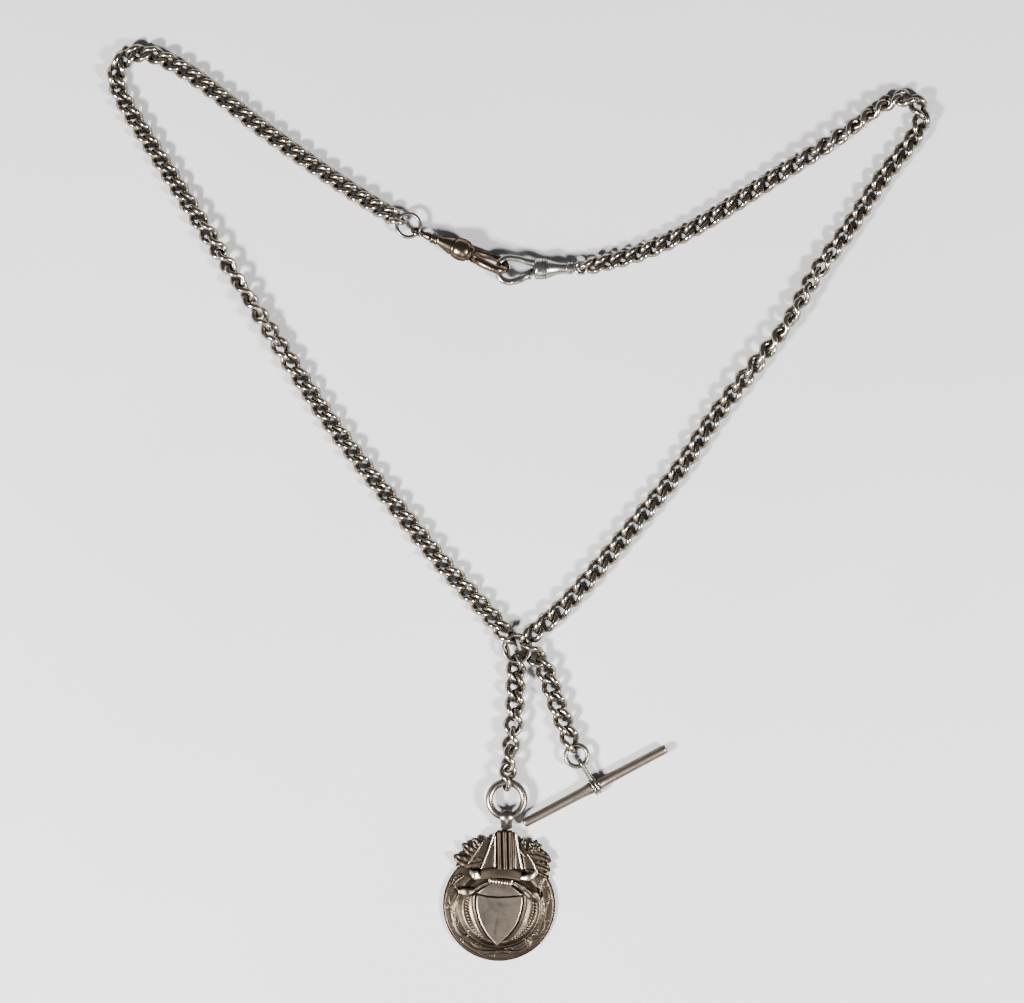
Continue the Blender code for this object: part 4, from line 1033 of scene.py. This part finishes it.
def build_fan():
    """The neck between bail and ribbon: rounded columns with two wings on each side."""
    columns = [lying_wire(((x - 0.10, 17.7), (x, 13.0), (x + 0.12, 8.8)), half, 2.42, 0.22)
               for x, half in COLUMNS]
    bed = band(((-0.9, 17.6), (-0.9, 13.0), (-0.8, 8.9)), ((3.7, 17.6), (3.7, 13.0), (3.6, 8.9)),
               1.5, (2.3, 2.4, 2.5), 30, 11)
    wings = [bed]
    for inner, outer, crest in (
            (((-0.8, 17.3), (-1.0, 13.2), (-1.1, 8.9)),
             ((-1.2, 17.2), (-2.6, 13.4), (-4.4, 8.9)), 2.52),
            (((3.6, 17.3), (3.7, 13.2), (3.7, 8.9)),
             ((4.1, 17.2), (4.8, 13.2), (6.0, 8.6)), 2.56),
            (((-1.4, 16.4), (-2.9, 12.4), (-4.3, 8.9)),
             ((-3.9, 15.2), (-5.8, 12.2), (-7.3, 9.4)), 2.30),
            (((4.2, 16.0), (5.2, 12.4), (5.9, 8.8)),
             ((5.7, 14.6), (7.4, 11.8), (8.9, 8.8)), 2.30)):
        wings.append(band(inner, outer, 1.5, (crest - 0.2, crest, crest), 30, 11))
    ridges = [lying_wire(line, width, height) for line, width, height in (
        (((-1.15, 17.3), (-2.4, 13.6), (-4.2, 8.9)), 0.24, 2.52),
        (((-0.95, 16.6), (-1.0, 12.6), (-1.1, 8.9)), 0.20, 2.62),
        (((4.0, 17.3), (4.6, 13.6), (5.5, 8.8)), 0.28, 2.56),
        (((4.2, 14.8), (5.0, 13.2), (6.1, 11.8)), 0.20, 2.40),
        (((-4.0, 15.0), (-5.7, 12.4), (-7.2, 10.2)), 0.22, 2.26),
        (((6.9, 12.2), (8.1, 10.4), (8.9, 8.4)), 0.19, 2.28))]
    medal_piece("medal_neck_wings", wings, MEDAL_SILVER, ("medal_fluted_fan",), 50.0)
    medal_piece("medal_neck_columns", columns, FLUTE_SILVER, (), 50.0)
    medal_piece("medal_neck_ridges", ridges, BEVEL_SILVER)


def build_bail():
    """A broad strap that goes over the fob ring and down to the medal's neck."""
    placing = axis_frame(FOB_WIRE_POINT, (0.0, 1.0, 0.0), math.pi / 2.0)
    outline = teardrop(-2.05, 0.50, 0.0, 1.52, 26)
    rings = []
    middle = np.array((-0.5, 0.0))
    for point in outline:
        outward = (point - middle) / np.linalg.norm(point - middle)
        width = 1.50 - 0.12 * np.clip((-point[0]) / 2.0, 0.0, 1.0)
        ring = []
        for across in np.linspace(-1.0, 1.0, 11):
            lift = 0.52 - 0.48 * across ** 2
            ring.append((*(point + outward * lift), across * width))
        for across in (1.0, -1.0):
            ring.append((*(point - outward * 0.20), across * width * 0.96))
        rings.append(ring)
    strap = placed(loft(rings, True), placing)
    add_piece("medal_bail_strap", [strap], "fob_medal", RING_SILVER, ("medal_bail",))


def build_medal():
    build_medal_disc()
    build_shield()
    build_banner()
    build_beads()
    build_leaves()
    build_fan()
    build_bail()


# ---------------------------------------------------------------- floor, light and camera

def floor_material():
    material, tree, shader = new_material("pale_table")
    shader.inputs["Roughness"].default_value = 0.75
    shader.inputs["Specular IOR Level"].default_value = 0.2
    coords = node(tree, "ShaderNodeTexCoord").outputs["Object"]
    cloud = noise(tree, coords, 9.0, 2.0)
    colour = mixed(tree, remap(tree, cloud, 0.3, 0.7), (0.63, 0.635, 0.65), (0.675, 0.68, 0.69))
    tree.links.new(colour, shader.inputs["Base Color"])
    return material


def build_stage():
    shape = bmesh.new()
    bmesh.ops.create_grid(shape, x_segments=2, y_segments=2, size=2.5)
    mesh = bpy.data.meshes.new("table_top")
    shape.to_mesh(mesh)
    shape.free()
    mesh.materials.append(floor_material())
    table = new_object("table_top", mesh)
    table.location = (0.0, 0.0, -0.00002)


def area_light(name, place, size, power, colour=(1.0, 1.0, 1.0)):
    """A round soft light that points at the chain."""
    data = bpy.data.lights.new(name, "AREA")
    data.shape = "DISK"
    data.size = size
    data.energy = power
    data.color = colour
    light = new_object(name, data)
    light.location = place
    light.rotation_euler = (-Vector(place)).to_track_quat("-Z", "Y").to_euler()


WARM_WHITE = (1.0, 0.985, 0.96)


def build_lights():
    area_light("left_softbox", (-0.42, -0.26, 0.46), 0.12, 13.5, WARM_WHITE)
    area_light("right_softbox", (0.44, -0.22, 0.46), 0.12, 9.5, WARM_WHITE)
    area_light("front_fill", (0.0, -0.62, 0.50), 0.40, 1.1)
    world = bpy.data.worlds.new("studio")
    world.use_nodes = True
    background = world.node_tree.nodes["Background"]
    background.inputs["Color"].default_value = (0.90, 0.94, 1.0, 1.0)
    background.inputs["Strength"].default_value = 0.11
    bpy.context.scene.world = world


def build_camera():
    """Straight above the chain, with a long lens."""
    height, half_width = 1.20, 0.12288
    data = bpy.data.cameras.new("camera")
    data.sensor_width = 36.0
    data.lens = data.sensor_width / 2.0 / (half_width / height)
    data.clip_start, data.clip_end = 0.05, 10.0
    camera = new_object("camera", data)
    view_centre = (np.array((-1.2, 35.16, 0.0)) + SHIFT) * MM
    camera.location = (view_centre[0], view_centre[1], height)
    bpy.context.scene.camera = camera


build_chains()
build_clips()
build_toggle_bar()
build_medal()
build_stage()
build_lights()
build_camera()
